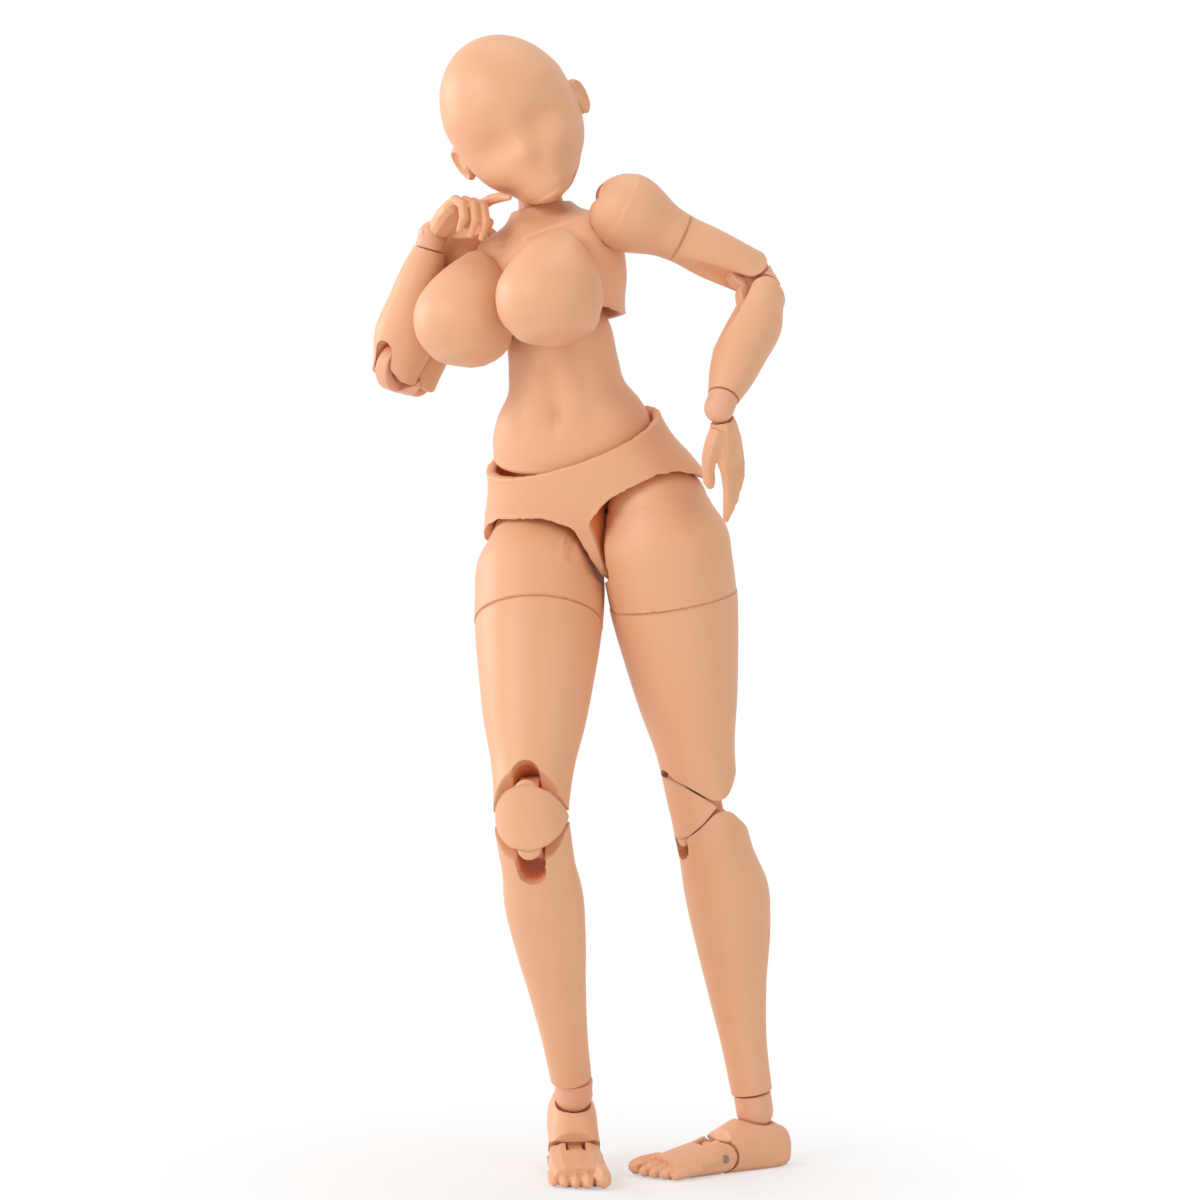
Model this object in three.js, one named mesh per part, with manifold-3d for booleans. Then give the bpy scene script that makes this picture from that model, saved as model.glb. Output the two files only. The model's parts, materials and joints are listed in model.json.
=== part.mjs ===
// Articulated action figure body: a bald, faceless mannequin standing with one hand at the chin
// and the other beside the hip.  Millimetres, +Z up, the pelvis faces -Y and the figure's left is +X.
import * as THREE from "three";
import { mergeVertices } from "three/addons/utils/BufferGeometryUtils.js";
import Module from "manifold-3d";

const wasm = await Module();
wasm.setup();

// Fits
const GAP = 0.3;
const PIN_R = 0.5;
const PIN_HOLE_R = 0.8;

// Legs
const HIP_HALF = 7.8;
const HIP_BALL_R = 6;
const HIP_DISC_R = 8.4;
const HIP_DISC_X = 5.7;
const THIGH_LENGTH = 33.6;
const THIGH_SEAM = 11.1;
const THIGH_W = 7.7;
const KNEE_W = 4.5;
const KNEE_HALF = 2.6;
const KNEE_EAR_R = 1.9;
const KNEE_LUG_T = 2.6;
const KNEE_FLEX = 50;
const KNEE_CAP_ANGLE = 45;
const SHIN_LENGTH = 36.4;
const CALF_W = 4.7;
const ANKLE_R = 2.25;
const ANKLE_STEM_R = 1.1;
const ANKLE_HEIGHT = 6.9;
const FOOT_W = 3.2;
const HEEL_BACK = 4.8;
const TOE_HINGE = 6.4;
const TOE_HINGE_Z = 2.0;
const TOE_TIP = 16.4;

// Torso and head
const RIM_UP = 10.7;
const CHEST_UP = 19.6;
const RIM_W = 11.4;
const RIM_SLOPE = 0.3;
const WAIST_W = 6.7;
const CHEST_W = 10.2;
const CHEST_RIM = 5.5;
const SHOULDER_X = 12.6;
const SHOULDER_Z = 5.6;
const BUST_R = 6.2;
const BUST_X = 6.4;
const NECK_UP = 7.2;
const NECK_R = 2.7;
const NECK_LENGTH = 7;
const HEAD_W = 7.9;
const HEAD_TOP = 16.4;
const CHIN_DROP = 4.8;
const HEAD_PIVOT = 1.6;

// Arms
const DELTOID_R = 4.6;
const ARM_SEAM = 6.8;
const ARM_R = 2.95;
const UPPER_ARM = 15.7;
const ELBOW_HALF = 1.9;
const ELBOW_EAR_R = 1.55;
const ELBOW_LUG_T = 1.8;
const ELBOW_FLEX = 84;
const ELBOW_CAP_ANGLE = 34;
const FOREARM = 16.4;
const FOREARM_W = 3.8;
const WRIST_R = 1.75;
const PALM_L = 7;
const FINGER_R = 0.72;

// Photographed pose, degrees
const POSE = {
  pelvisRoll: -15.6, pelvisPitch: 9,
  waistBend: 0, waistTilt: 11, chestTwist: -18, chestTilt: -10, chestBend: -7,
  neckNod: 5, neckTilt: 6, headTurn: 33, headTilt: -21, headNod: 1,
};
const LEFT = {
  swing: -46, raise: 32, bicep: -4, elbow: 45, wrist: -46, hand: 62,
  hip: 1, out: -8.7, thigh: 48, knee: 0, heading: -38, lift: 0,
};
const RIGHT = {
  swing: 25, raise: 24, bicep: -7, elbow: 84, wrist: -18, hand: 49,
  hip: 38, out: 5.4, thigh: 15, heading: 25, lift: 33,
};

const skin = new THREE.MeshStandardMaterial({ color: 0xe2ac84, roughness: 0.52, metalness: 0 });
const joint = new THREE.MeshStandardMaterial({ color: 0xe6b096, roughness: 0.55, metalness: 0 });
const steel = new THREE.MeshStandardMaterial({ color: 0x8c8a88, roughness: 0.35, metalness: 1 });

const rad = Math.PI / 180;

// Closed-mesh toolkit

function solid(geometry) {
  const plain = new THREE.BufferGeometry();
  plain.setAttribute("position", geometry.getAttribute("position").clone());
  if (geometry.index) plain.setIndex(geometry.index.clone());
  const merged = mergeVertices(plain, 1e-4);
  const pos = new Float32Array(merged.getAttribute("position").array);
  const kept = [];
  const ids = merged.index.array;
  for (let i = 0; i < ids.length; i += 3) {
    const distinct = ids[i] !== ids[i + 1] && ids[i + 1] !== ids[i + 2] && ids[i] !== ids[i + 2];
    if (distinct) kept.push(ids[i], ids[i + 1], ids[i + 2]);
  }
  const mesh = new wasm.Mesh({ numProp: 3, vertProperties: pos, triVerts: new Uint32Array(kept) });
  return new wasm.Manifold(mesh);
}

function named(name, body, material, mirror) {
  const out = body.getMesh();
  const pos = Float32Array.from(out.vertProperties);
  const ids = Uint32Array.from(out.triVerts);
  if (mirror) {
    for (let i = 0; i < pos.length; i += 3) pos[i] = -pos[i];
    for (let i = 0; i < ids.length; i += 3) [ids[i + 1], ids[i + 2]] = [ids[i + 2], ids[i + 1]];
  }
  const geometry = new THREE.BufferGeometry();
  geometry.setAttribute("position", new THREE.BufferAttribute(pos, 3));
  geometry.setIndex(new THREE.BufferAttribute(ids, 1));
  geometry.computeVertexNormals();
  const mesh = new THREE.Mesh(geometry, material);
  mesh.name = name;
  return mesh;
}

function joined(...bodies) {
  return bodies.reduce((a, b) => a.add(b));
}

function cutBy(body, ...tools) {
  return tools.reduce((a, b) => a.subtract(b), body);
}

// The same solid shifted by x, y, z.
function moved(body, x, y, z) {
  const out = body.getMesh();
  const pos = Float32Array.from(out.vertProperties);
  for (let i = 0; i < pos.length; i += 3) {
    pos[i] += x;
    pos[i + 1] += y;
    pos[i + 2] += z;
  }
  const mesh = new wasm.Mesh({ numProp: 3, vertProperties: pos, triVerts: Uint32Array.from(out.triVerts) });
  return new wasm.Manifold(mesh);
}

// Bar along X through the origin, turned about Y by degrees.
function barTurned(r, h, degrees) {
  const g = new THREE.CylinderGeometry(r, r, 2 * h, 8);
  g.rotateZ(-Math.PI / 2);
  g.rotateY(degrees * rad);
  return solid(g);
}

// Bar rising from z0 to z1, leaned about Y through the origin by degrees.
function barLeaned(r, z0, z1, degrees) {
  const g = new THREE.CylinderGeometry(r, r, z1 - z0, 10);
  g.rotateX(Math.PI / 2);
  g.translate(0, 0, (z0 + z1) / 2);
  g.rotateY(degrees * rad);
  return solid(g);
}

function ball(r, x, y, z, sides = 12, sx = 1, sy = 1, sz = 1) {
  const g = new THREE.SphereGeometry(r, sides, Math.round(sides * 0.6));
  g.rotateX(Math.PI / 2);
  g.scale(sx, sy, sz);
  g.translate(x, y, z);
  return solid(g);
}

// Round bar of half-length h along "x", "y" or "z".
function bar(r, h, along, x, y, z, sides = 8, rEnd = r) {
  const g = new THREE.CylinderGeometry(rEnd, r, 2 * h, sides);
  if (along === "x") g.rotateZ(-Math.PI / 2);
  if (along === "z") g.rotateX(Math.PI / 2);
  g.translate(x, y, z);
  return solid(g);
}

function block(x0, x1, y0, y1, z0, z1) {
  const g = new THREE.BoxGeometry(x1 - x0, y1 - y0, z1 - z0);
  g.translate((x0 + x1) / 2, (y0 + y1) / 2, (z0 + z1) / 2);
  return solid(g);
}

// Prism of a flat outline [[y, z], ...] reaching h to both sides along X.
function prism(outline, h) {
  const shape = new THREE.Shape(outline.map(([y, z]) => new THREE.Vector2(y, z)));
  const g = new THREE.ExtrudeGeometry(shape, { depth: 2 * h, bevelEnabled: false });
  g.translate(0, 0, -h);
  g.applyMatrix4(new THREE.Matrix4().set(0, 0, 1, 0, 1, 0, 0, 0, 0, 1, 0, 0, 0, 0, 0, 1));
  return solid(g);
}

// Closed skin over rings of points, all with the same count, running down.
function skinOver(rings) {
  const n = rings[0].length;
  const pts = rings.flat();
  const first = pts.length;
  const mid = (ring) => ring.reduce((a, p) => a.add(p), new THREE.Vector3()).divideScalar(n);
  pts.push(mid(rings[0]), mid(rings[rings.length - 1]));
  const ids = [];
  for (let j = 0; j < n; j++) {
    const k = (j + 1) % n;
    ids.push(first, j, k);
    for (let i = 0; i + 1 < rings.length; i++) {
      const a = i * n;
      const b = a + n;
      ids.push(a + j, b + j, a + k, a + k, b + j, b + k);
    }
    const last = (rings.length - 1) * n;
    ids.push(first + 1, last + k, last + j);
  }
  const g = new THREE.BufferGeometry();
  g.setAttribute("position", new THREE.Float32BufferAttribute(pts.flatMap((p) => [p.x, p.y, p.z]), 3));
  g.setIndex(ids);
  return g;
}

// Smooth values between a few stations (Catmull-Rom through each column).
function between(stations, steps) {
  const rows = [];
  const at = (i) => stations[Math.min(Math.max(i, 0), stations.length - 1)];
  for (let i = 0; i + 1 < stations.length; i++) {
    for (let s = 0; s < steps; s++) {
      const t = s / steps;
      rows.push(at(i).map((_, c) => {
        const [p0, p1, p2, p3] = [at(i - 1)[c], at(i)[c], at(i + 1)[c], at(i + 2)[c]];
        const m1 = (p2 - p0) / 2;
        const m2 = (p3 - p1) / 2;
        const d = p2 - p1;
        return p1 + t * (m1 + t * (3 * d - 2 * m1 - m2 + t * (m1 + m2 - 2 * d)));
      }));
    }
  }
  rows.push(at(stations.length - 1));
  return rows;
}

// Limb or torso form: stations [z, half width, front depth, back depth, centre y], top first.
function form(stations, sides, steps = 1, power = 2) {
  const rings = between(stations.map((s) => [s[0], s[1], s[2], s[3], s[4] ?? 0]), steps).map((s) => {
    const ring = [];
    for (let j = 0; j < sides; j++) {
      const a = (2 * Math.PI * j) / sides;
      const c = Math.sign(Math.cos(a)) * Math.abs(Math.cos(a)) ** (2 / power);
      const d = Math.sign(Math.sin(a)) * Math.abs(Math.sin(a)) ** (2 / power);
      ring.push(new THREE.Vector3(s[1] * c, s[4] + (d < 0 ? s[2] : s[3]) * d, s[0]));
    }
    return ring;
  });
  return skinOver(rings);
}

// Round sweep along a path of points with a radius each, used for fingers and toes.
function sweep(path, radii, sides) {
  const pts = path.map((p) => new THREE.Vector3(...p));
  const rings = pts.map((p, i) => {
    const t = pts[Math.min(i + 1, pts.length - 1)].clone().sub(pts[Math.max(i - 1, 0)]).normalize();
    const u = new THREE.Vector3(0, 1, 0).addScaledVector(t, -t.y).normalize();
    const v = new THREE.Vector3().crossVectors(t, u);
    const ring = [];
    for (let j = 0; j < sides; j++) {
      const a = -(2 * Math.PI * j) / sides;
      const out = u.clone().multiplyScalar(Math.cos(a)).addScaledVector(v, Math.sin(a));
      ring.push(p.clone().addScaledVector(out, radii[i]));
    }
    return ring;
  });
  return solid(skinOver(rings));
}

// Double hinge: outlines in the y-z plane about the joint middle.
// side = +1 when the limb folds towards +Y (knee), -1 towards -Y (elbow).

// End of the upper segment: an ear round the upper hinge between a folding chamfer and a cap chamfer.
function hingeEnd(half, ear, flex, cap, side, reach) {
  const a0 = THREE.MathUtils.degToRad(flex);
  const a1 = THREE.MathUtils.degToRad(cap);
  const arc = [];
  for (let i = 0; i <= 5; i++) {
    const a = a0 - ((a0 + a1) * i) / 5;
    arc.push([Math.sin(a) * ear, half - Math.cos(a) * ear]);
  }
  const [from, to] = [arc[0], arc[5]];
  const pts = [
    [from[0] + Math.cos(a0) * reach, from[1] + Math.sin(a0) * reach], ...arc,
    [to[0] - Math.cos(a1) * reach, to[1] + Math.sin(a1) * reach],
    [-reach * 2, reach * 2], [reach * 2, reach * 2],
  ];
  return pts.map(([y, z]) => [side * y, z]);
}

// Wedge left for the cap, opening away from the folding side.
function capWedge(half, ear, cap, side, reach) {
  const a = THREE.MathUtils.degToRad(cap);
  const apex = (ear + GAP - half * Math.cos(a)) / Math.sin(a);
  return [[-apex, 0], [-apex - Math.cos(a) * reach, Math.sin(a) * reach],
    [-apex - Math.cos(a) * reach, -Math.sin(a) * reach]].map(([y, z]) => [side * y, z]);
}

// Slot with a round top, cut front to back, half width w, up to height top.
function archSlot(w, top, bottom, depth) {
  return joined(block(-w, w, -depth, depth, bottom, top - w), bar(w, depth, "y", 0, 0, top - w, 12));
}

function flipZ(outline) {
  return outline.map(([y, z]) => [y, -z]);
}

// Legs (left; the right ones are mirrored)

const kneeZ = -(THIGH_LENGTH + KNEE_HALF);
const thighForm = (extra = 0, sides = 14) => form([
  [0.5, HIP_BALL_R * 0.97, HIP_BALL_R, HIP_BALL_R], [-3, THIGH_W * 0.985, 7.6, 7.8],
  [-7.5, THIGH_W * 1.01, 7.9, 8.0], [-THIGH_SEAM, THIGH_W * 0.995, 7.8, 7.8],
  [-18, THIGH_W * 0.9, 7.0, 6.8],
  [-24, THIGH_W * 0.79, 6.1, 5.7], [kneeZ + 6.5, KNEE_W * 1.1, 5.0, 4.5],
  [kneeZ + 2, KNEE_W, 4.7, 4.1], [kneeZ - 3, KNEE_W, 4.6, 4.2],
].map((s) => [s[0], s[1] + extra, s[2] + extra, s[3] + extra]), sides);
const wholeThigh = joined(ball(HIP_BALL_R, 0, 0, 0, 12), solid(thighForm()));
const hipPegR = 1.5;
const hipLugR = 2.6;
const hipLugT = 2.4;
const spigotR = THIGH_W * 0.72;

// Room beside the crotch: the thigh's inner side is faced flat inside a radius about the hip axis.
function hipDisc(r, x) {
  return bar(r, 7, "x", -x - 7, 0, 0, 24);
}

function thighUpper() {
  const seat = -THIGH_SEAM;
  const top = wholeThigh.intersect(block(-20, 20, -20, 20, seat + GAP / 2, 20));
  const t = hipLugT / 2 + GAP;
  return cutBy(top,
    hipDisc(HIP_DISC_R, HIP_DISC_X),
    block(-20, hipPegR + GAP, -t, t, -hipPegR - GAP, 20),
    block(-20, -1.2, -t, t, -hipPegR - 1.9, 20),
    bar(hipLugR + GAP, t, "y", 0, 0, 0, 12),
    bar(PIN_HOLE_R, 4.3, "y", 0, 0, 0),
    bar(spigotR + GAP, 1.6, "z", 0, 0, seat, 12));
}

function thighLower() {
  const seat = -THIGH_SEAM;
  const low = wholeThigh.intersect(block(-20, 20, -20, 20, kneeZ - 5, seat - GAP / 2));
  const end = prism(hingeEnd(KNEE_HALF, KNEE_EAR_R, KNEE_FLEX, KNEE_CAP_ANGLE, 1, 40), 12);
  const w = KNEE_LUG_T / 2 + GAP;
  const cut = cutBy(moved(low, 0, 0, -kneeZ).intersect(end),
    archSlot(w, KNEE_HALF + KNEE_EAR_R + 0.6, -4, 9),
    bar(PIN_HOLE_R, 3.6, "x", 0, 0, KNEE_HALF));
  return joined(moved(cut, 0, 0, kneeZ), bar(spigotR, 1.3, "z", 0, 0, seat, 12));
}

const shinForm = () => form([
  [KNEE_HALF + 3, KNEE_W, 4.6, 4.2], [0, KNEE_W * 0.98, 4.4, 4.4], [-4, KNEE_W * 0.97, 4.2, 4.9],
  [-8.5, CALF_W, 4.2, 6.1], [-14, CALF_W * 0.92, 3.9, 5.6], [-21, CALF_W * 0.74, 3.35, 3.9],
  [-SHIN_LENGTH + 8, CALF_W * 0.59, 2.75, 2.75], [-SHIN_LENGTH + 2.5, ANKLE_R + 0.25, 2.5, 2.5],
], 12);

function shin() {
  const outline = flipZ(hingeEnd(KNEE_HALF, KNEE_EAR_R, KNEE_FLEX, KNEE_CAP_ANGLE, 1, 45)).reverse();
  const shaped = solid(shinForm()).intersect(moved(prism(outline, 12), 0, 0, KNEE_HALF));
  const w = KNEE_LUG_T / 2 + GAP;
  const low = -KNEE_EAR_R - 0.2;
  return cutBy(shaped,
    block(-w, w, -9, 9, low, KNEE_HALF + 4),
    bar(w, 9, "y", 0, 0, low, 12),
    bar(PIN_HOLE_R, 3.6, "x", 0, 0, 0),
    bar(ANKLE_STEM_R + GAP, 3, "z", 0, 0, -SHIN_LENGTH + 4.2));
}

function kneeBlock() {
  const t = KNEE_LUG_T / 2;
  const r = KNEE_EAR_R - GAP;
  const body = joined(
    bar(r, t, "x", 0, 0, 0, 12), bar(r, t, "x", 0, 0, -2 * KNEE_HALF, 12),
    block(-t, t, -r, r, -2 * KNEE_HALF, 0));
  return cutBy(body, bar(PIN_HOLE_R, 3, "x", 0, 0, 0), bar(PIN_HOLE_R, 3, "x", 0, 0, -2 * KNEE_HALF));
}

function kneeCap() {
  const leg = joined(
    moved(solid(thighForm()), 0, 0, -kneeZ).intersect(block(-9, 9, -9, 9, 0, 9)),
    moved(solid(shinForm()), 0, 0, -KNEE_HALF).intersect(block(-9, 9, -9, 9, -9, 0)));
  const wedge = prism(capWedge(KNEE_HALF, KNEE_EAR_R, KNEE_CAP_ANGLE, 1, 14), 12);
  const t = KNEE_LUG_T / 2 + GAP;
  const cap = cutBy(leg.intersect(wedge), block(-t, t, -KNEE_EAR_R - 0.1, 9, -9, 9));
  return moved(cap, 0, 0, -KNEE_HALF);
}

// The stem turns in the shin; roll is the sideways lean of the forked ball below it.
function ankleBlock(roll) {
  const t = 0.65 + GAP;
  const fork = joined(bar(ANKLE_R, 1, "z", 0, 0, 1, 12), ball(ANKLE_R, 0, 0, 0, 12));
  const body = joined(
    cutBy(fork, block(-t, t, -3, 3, -3, 1.5)),
    barLeaned(ANKLE_STEM_R, 1.6, 6.4, -roll));
  return cutBy(body, bar(PIN_HOLE_R, 3, "x", 0, 0, 0));
}

const toeAxisZ = -ANKLE_HEIGHT + TOE_HINGE_Z;

// Foot form laid along -Y: stations [y, half width, up, down, centre z] from toe side to heel.
function footForm() {
  const rows = [
    [-TOE_TIP + 2.4, FOOT_W * 0.95, 1.0, 1.6, -5.6], [-10.6, FOOT_W * 1.1, 1.5, 2, -5.3],
    [-7.8, FOOT_W * 1.09, 1.9, 2.3, -5.0], [-5, FOOT_W, 2.8, 2.6, -4.8],
    [-2.4, FOOT_W * 0.95, 3.8, 3, -4.6], [0.4, FOOT_W * 0.94, 3.8, 3.2, -4.5],
    [2.8, FOOT_W * 0.8, 2.9, 3.1, -4.6], [HEEL_BACK - 0.5, FOOT_W * 0.5, 1.8, 2.3, -4.7],
    [HEEL_BACK, FOOT_W * 0.12, 0.5, 0.7, -4.7],
  ];
  const g = form(rows.map((s) => [-s[0], s[1], s[3], s[2], s[4]]), 12, 1, 2.4);
  g.applyMatrix4(new THREE.Matrix4().set(1, 0, 0, 0, 0, 0, -1, 0, 0, 1, 0, 0, 0, 0, 0, 1));
  return solid(g).intersect(block(-9, 9, -20, 9, -ANKLE_HEIGHT, 5));
}

function foot() {
  const hinge = bar(TOE_HINGE_Z + 0.15, 9, "x", 0, -TOE_HINGE, toeAxisZ, 14);
  const ahead = prism([
    [-TOE_HINGE, -9], [-TOE_HINGE, toeAxisZ], [-TOE_HINGE + 3.4, toeAxisZ + 5],
    [-20, toeAxisZ + 5], [-20, -9],
  ], 9);
  const rear = cutBy(footForm(), ahead, hinge,
    ball(ANKLE_R + 0.42, 0, 0, 0, 12), bar(ANKLE_R + 0.42, 2, "z", 0, 0, 2, 12));
  const tongueR = TOE_HINGE_Z - 0.5;
  const tongue = cutBy(
    joined(bar(tongueR, 0.9, "x", 0, -TOE_HINGE, toeAxisZ, 12),
      block(-0.9, 0.9, -TOE_HINGE, -TOE_HINGE + 3.2, toeAxisZ - 1, toeAxisZ + 1)),
    bar(PIN_HOLE_R, 2, "x", 0, -TOE_HINGE, toeAxisZ));
  const tab = cutBy(
    joined(bar(1.15, 0.65, "x", 0, 0, 0, 10), block(-0.65, 0.65, -1.1, 1.1, -3.4, 0)),
    bar(PIN_HOLE_R, 2, "x", 0, 0, 0));
  return joined(rear, tongue, tab);
}

function toes() {
  const hinge = bar(TOE_HINGE_Z - 0.15, 9, "x", 0, -TOE_HINGE, toeAxisZ, 14);
  const pad = joined(
    footForm().intersect(block(-9, 9, -TOE_TIP + 2.8, -TOE_HINGE, -9, 5)),
    footForm().intersect(hinge));
  const row = [
    [-2.5, 0, 1.15], [-0.75, 0.2, 0.85], [0.6, 0.75, 0.8], [1.85, 1.4, 0.78], [3.0, 2.3, 0.72],
  ];
  const digits = row.map(([x, back, r]) => {
    const z = -ANKLE_HEIGHT + r * 0.92;
    const tip = -TOE_TIP + back;
    return sweep([[x, tip + 4.2, z + 0.5], [x * 1.02, tip + 2.8, z + 0.35], [x * 1.04, tip + 1.5, z + 0.2],
      [x * 1.04, tip + 0.5, z], [x * 1.04, tip, z - 0.1]], [r, r, r, r * 0.85, r * 0.4], 6);
  });
  const whole = joined(pad, ...digits).intersect(block(-9, 9, -20, 9, -ANKLE_HEIGHT, 5));
  const cut = cutBy(whole,
    block(-0.9 - GAP, 0.9 + GAP, -TOE_HINGE - 1.9, 0, -9, 5),
    bar(PIN_HOLE_R, 2.9, "x", 0, -TOE_HINGE, toeAxisZ));
  return moved(cut, 0, TOE_HINGE, -toeAxisZ);
}

// Arms

const elbowZ = -(UPPER_ARM + ELBOW_HALF);
const armForm = () => form([
  [1, 4.2, 4.2, 4.2], [-2.5, 4.0, 3.9, 3.9], [-5, 3.2, 3.2, 3.2], [-ARM_SEAM, ARM_R, ARM_R, ARM_R],
  [-10.5, ARM_R * 1.04, ARM_R * 1.02, ARM_R], [elbowZ + 2, ARM_R * 0.97, ARM_R * 0.95, ARM_R * 0.95],
  [elbowZ - 3, ARM_R * 0.97, ARM_R * 0.95, ARM_R * 0.95],
], 12);
const wholeArm = joined(ball(DELTOID_R, 0, 0, 0, 12), solid(armForm()));
const shoulderPegR = 1.1;
const shoulderLugR = 1.9;
const shoulderLugT = 1.8;

function upperArm() {
  const top = wholeArm.intersect(block(-9, 9, -9, 9, -ARM_SEAM + GAP / 2, 9));
  const t = shoulderLugT / 2 + GAP;
  return cutBy(top,
    block(-9, shoulderPegR + GAP, -t, t, -shoulderPegR - GAP, 9),
    bar(shoulderLugR + GAP, t, "y", 0, 0, 0, 12),
    bar(PIN_HOLE_R, 3.2, "y", 0, 0, 0),
    bar(1.9 + GAP, 1.5, "z", 0, 0, -ARM_SEAM, 12));
}

function bicep() {
  const low = wholeArm.intersect(block(-9, 9, -9, 9, elbowZ - 5, -ARM_SEAM - GAP / 2));
  const end = prism(hingeEnd(ELBOW_HALF, ELBOW_EAR_R, ELBOW_FLEX, ELBOW_CAP_ANGLE, -1, 30), 9);
  const t = ELBOW_LUG_T / 2 + GAP;
  const cut = cutBy(moved(low, 0, 0, -elbowZ).intersect(end),
    archSlot(t, ELBOW_HALF + ELBOW_EAR_R + 0.5, -4, 9),
    bar(PIN_HOLE_R, 2.3, "x", 0, 0, ELBOW_HALF));
  return joined(moved(cut, 0, 0, elbowZ), bar(1.9, 1.1, "z", 0, 0, -ARM_SEAM, 12));
}

const forearmForm = () => form([
  [ELBOW_HALF + 3, ARM_R * 0.97, ARM_R * 0.95, ARM_R * 0.95], [0, ARM_R, ARM_R, ARM_R],
  [-3.6, FOREARM_W, FOREARM_W, FOREARM_W * 0.97],
  [-8, FOREARM_W * 0.84, FOREARM_W * 0.84, FOREARM_W * 0.84],
  [-12, FOREARM_W * 0.67, FOREARM_W * 0.68, FOREARM_W * 0.68],
  [-FOREARM + 1.75, WRIST_R + 0.15, 1.9, 1.9],
], 12);

function forearm() {
  const outline = flipZ(hingeEnd(ELBOW_HALF, ELBOW_EAR_R, ELBOW_FLEX, ELBOW_CAP_ANGLE, -1, 30)).reverse();
  const t = ELBOW_LUG_T / 2 + GAP;
  return cutBy(solid(forearmForm()).intersect(moved(prism(outline, 9), 0, 0, ELBOW_HALF)),
    block(-t, t, -9, 9, -ELBOW_EAR_R - 0.1, ELBOW_HALF + 3), bar(t, 9, "y", 0, 0, -ELBOW_EAR_R - 0.1, 12),
    bar(PIN_HOLE_R, 2.3, "x", 0, 0, 0),
    bar(0.8 + GAP, 2.2, "z", 0, 0, -FOREARM + 3));
}

function elbowBlock() {
  const t = ELBOW_LUG_T / 2;
  const r = ELBOW_EAR_R - GAP;
  const arm = joined(
    moved(solid(armForm()), 0, 0, -elbowZ).intersect(block(-9, 9, -9, 9, 0, 9)),
    moved(solid(forearmForm()), 0, 0, -ELBOW_HALF).intersect(block(-9, 9, -9, 9, -9, 0)));
  const wedge = prism(capWedge(ELBOW_HALF, ELBOW_EAR_R, ELBOW_CAP_ANGLE, -1, 9), 9);
  const body = joined(
    bar(r, t, "x", 0, 0, ELBOW_HALF, 12), bar(r, t, "x", 0, 0, -ELBOW_HALF, 12),
    block(-t, t, -r, r, -ELBOW_HALF, ELBOW_HALF), arm.intersect(wedge));
  const bored = cutBy(body,
    bar(PIN_HOLE_R, 3, "x", 0, 0, ELBOW_HALF), bar(PIN_HOLE_R, 3, "x", 0, 0, -ELBOW_HALF));
  return moved(bored, 0, 0, -ELBOW_HALF);
}

function wristBlock() {
  const t = 0.5 + GAP;
  const body = joined(
    bar(WRIST_R, 0.72, "z", 0, 0, 0.72, 10), ball(WRIST_R, 0, 0, 0, 10), bar(0.8, 2, "z", 0, 0, 2.6));
  return cutBy(body,
    block(-3, 3, -t, t, -3, 1.25), bar(PIN_HOLE_R, 3, "y", 0, 0, 0));
}

// Hand hanging along -Z, palm towards -X, thumb towards -Y, then turned about Z; each curl bends a
// finger towards the palm.  The tab stays square to the wrist pin.
function hand({ curls, thumb, turned }) {
  const up = new THREE.Vector3(0, 0, 1);
  const spin = (p) => new THREE.Vector3(...p).applyAxisAngle(up, turned * rad).toArray();
  const palm = solid(form([
    [-1.2, 1.2, 1.4, 1.4], [-2.4, 1.45, 1.75, 1.75], [-4.4, 1.35, 2.25, 2.3],
    [-PALM_L + 0.3, 1.1, 2.45, 2.4], [-PALM_L - 0.5, 0.6, 2.1, 2.0],
  ], 10, 1, 2.6).rotateZ(turned * rad));
  const fingers = curls.map((curl, i) => {
    const length = PALM_L * [1.18, 1.29, 1.23, 1.05][i] / 4;
    const path = [];
    let [x, z, a] = [0, -PALM_L + 1.2, 0];
    for (let s = 0; s <= 4; s++) {
      path.push(spin([x, -1.75 + i * 1.18, z]));
      if (s >= 1) a += (curl * rad) / 3;
      x -= Math.sin(a) * length;
      z -= Math.cos(a) * length;
    }
    return sweep(path, [1.02, 0.98, 0.93, 0.88, 0.45].map((r) => r * FINGER_R), 6);
  });
  const digit = sweep(thumb.map(spin), [1.15, 1.2, 1.0, 0.85, 0.8, 0.4], 6);
  const tab = cutBy(
    joined(bar(1.1, 0.5, "y", 0, 0, 0, 12), block(-0.9, 0.9, -0.5, 0.5, -2.6, 0)),
    bar(PIN_HOLE_R, 2, "y", 0, 0, 0));
  return joined(cutBy(joined(palm, ...fingers, digit), ball(WRIST_R + 0.35, 0, 0, 0, 10)), tab);
}

// Torso

const pelvisForm = () => form([
  [RIM_UP + 2.7, RIM_W * 0.97, 7.1, 7.0], [RIM_UP, RIM_W, 7.3, 7.2],
  [RIM_UP - 2.7, RIM_W * 1.06, 7.5, 7.8], [5.2, RIM_W * 1.18, 7.3, 8.5],
  [2.2, RIM_W * 1.27, 6.8, 8.6], [-0.5, RIM_W * 1.2, 5.9, 8.2],
  [-3.5, RIM_W * 0.83, 4.8, 6.8], [-5.4, RIM_W * 0.45, 3.6, 4.6], [-6.3, RIM_W * 0.22, 2.2, 2.6],
], 20);

// Leans a form with the pelvis rim, lower in front: fully at z = 0 and below, not at all above height.
function leanedWithRim(g, height) {
  const p = g.getAttribute("position");
  for (let i = 0; i < p.count; i++) {
    const share = THREE.MathUtils.clamp(1 - p.getZ(i) / height, 0, 1);
    p.setZ(i, p.getZ(i) + RIM_SLOPE * share * p.getY(i));
  }
  return g;
}

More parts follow.
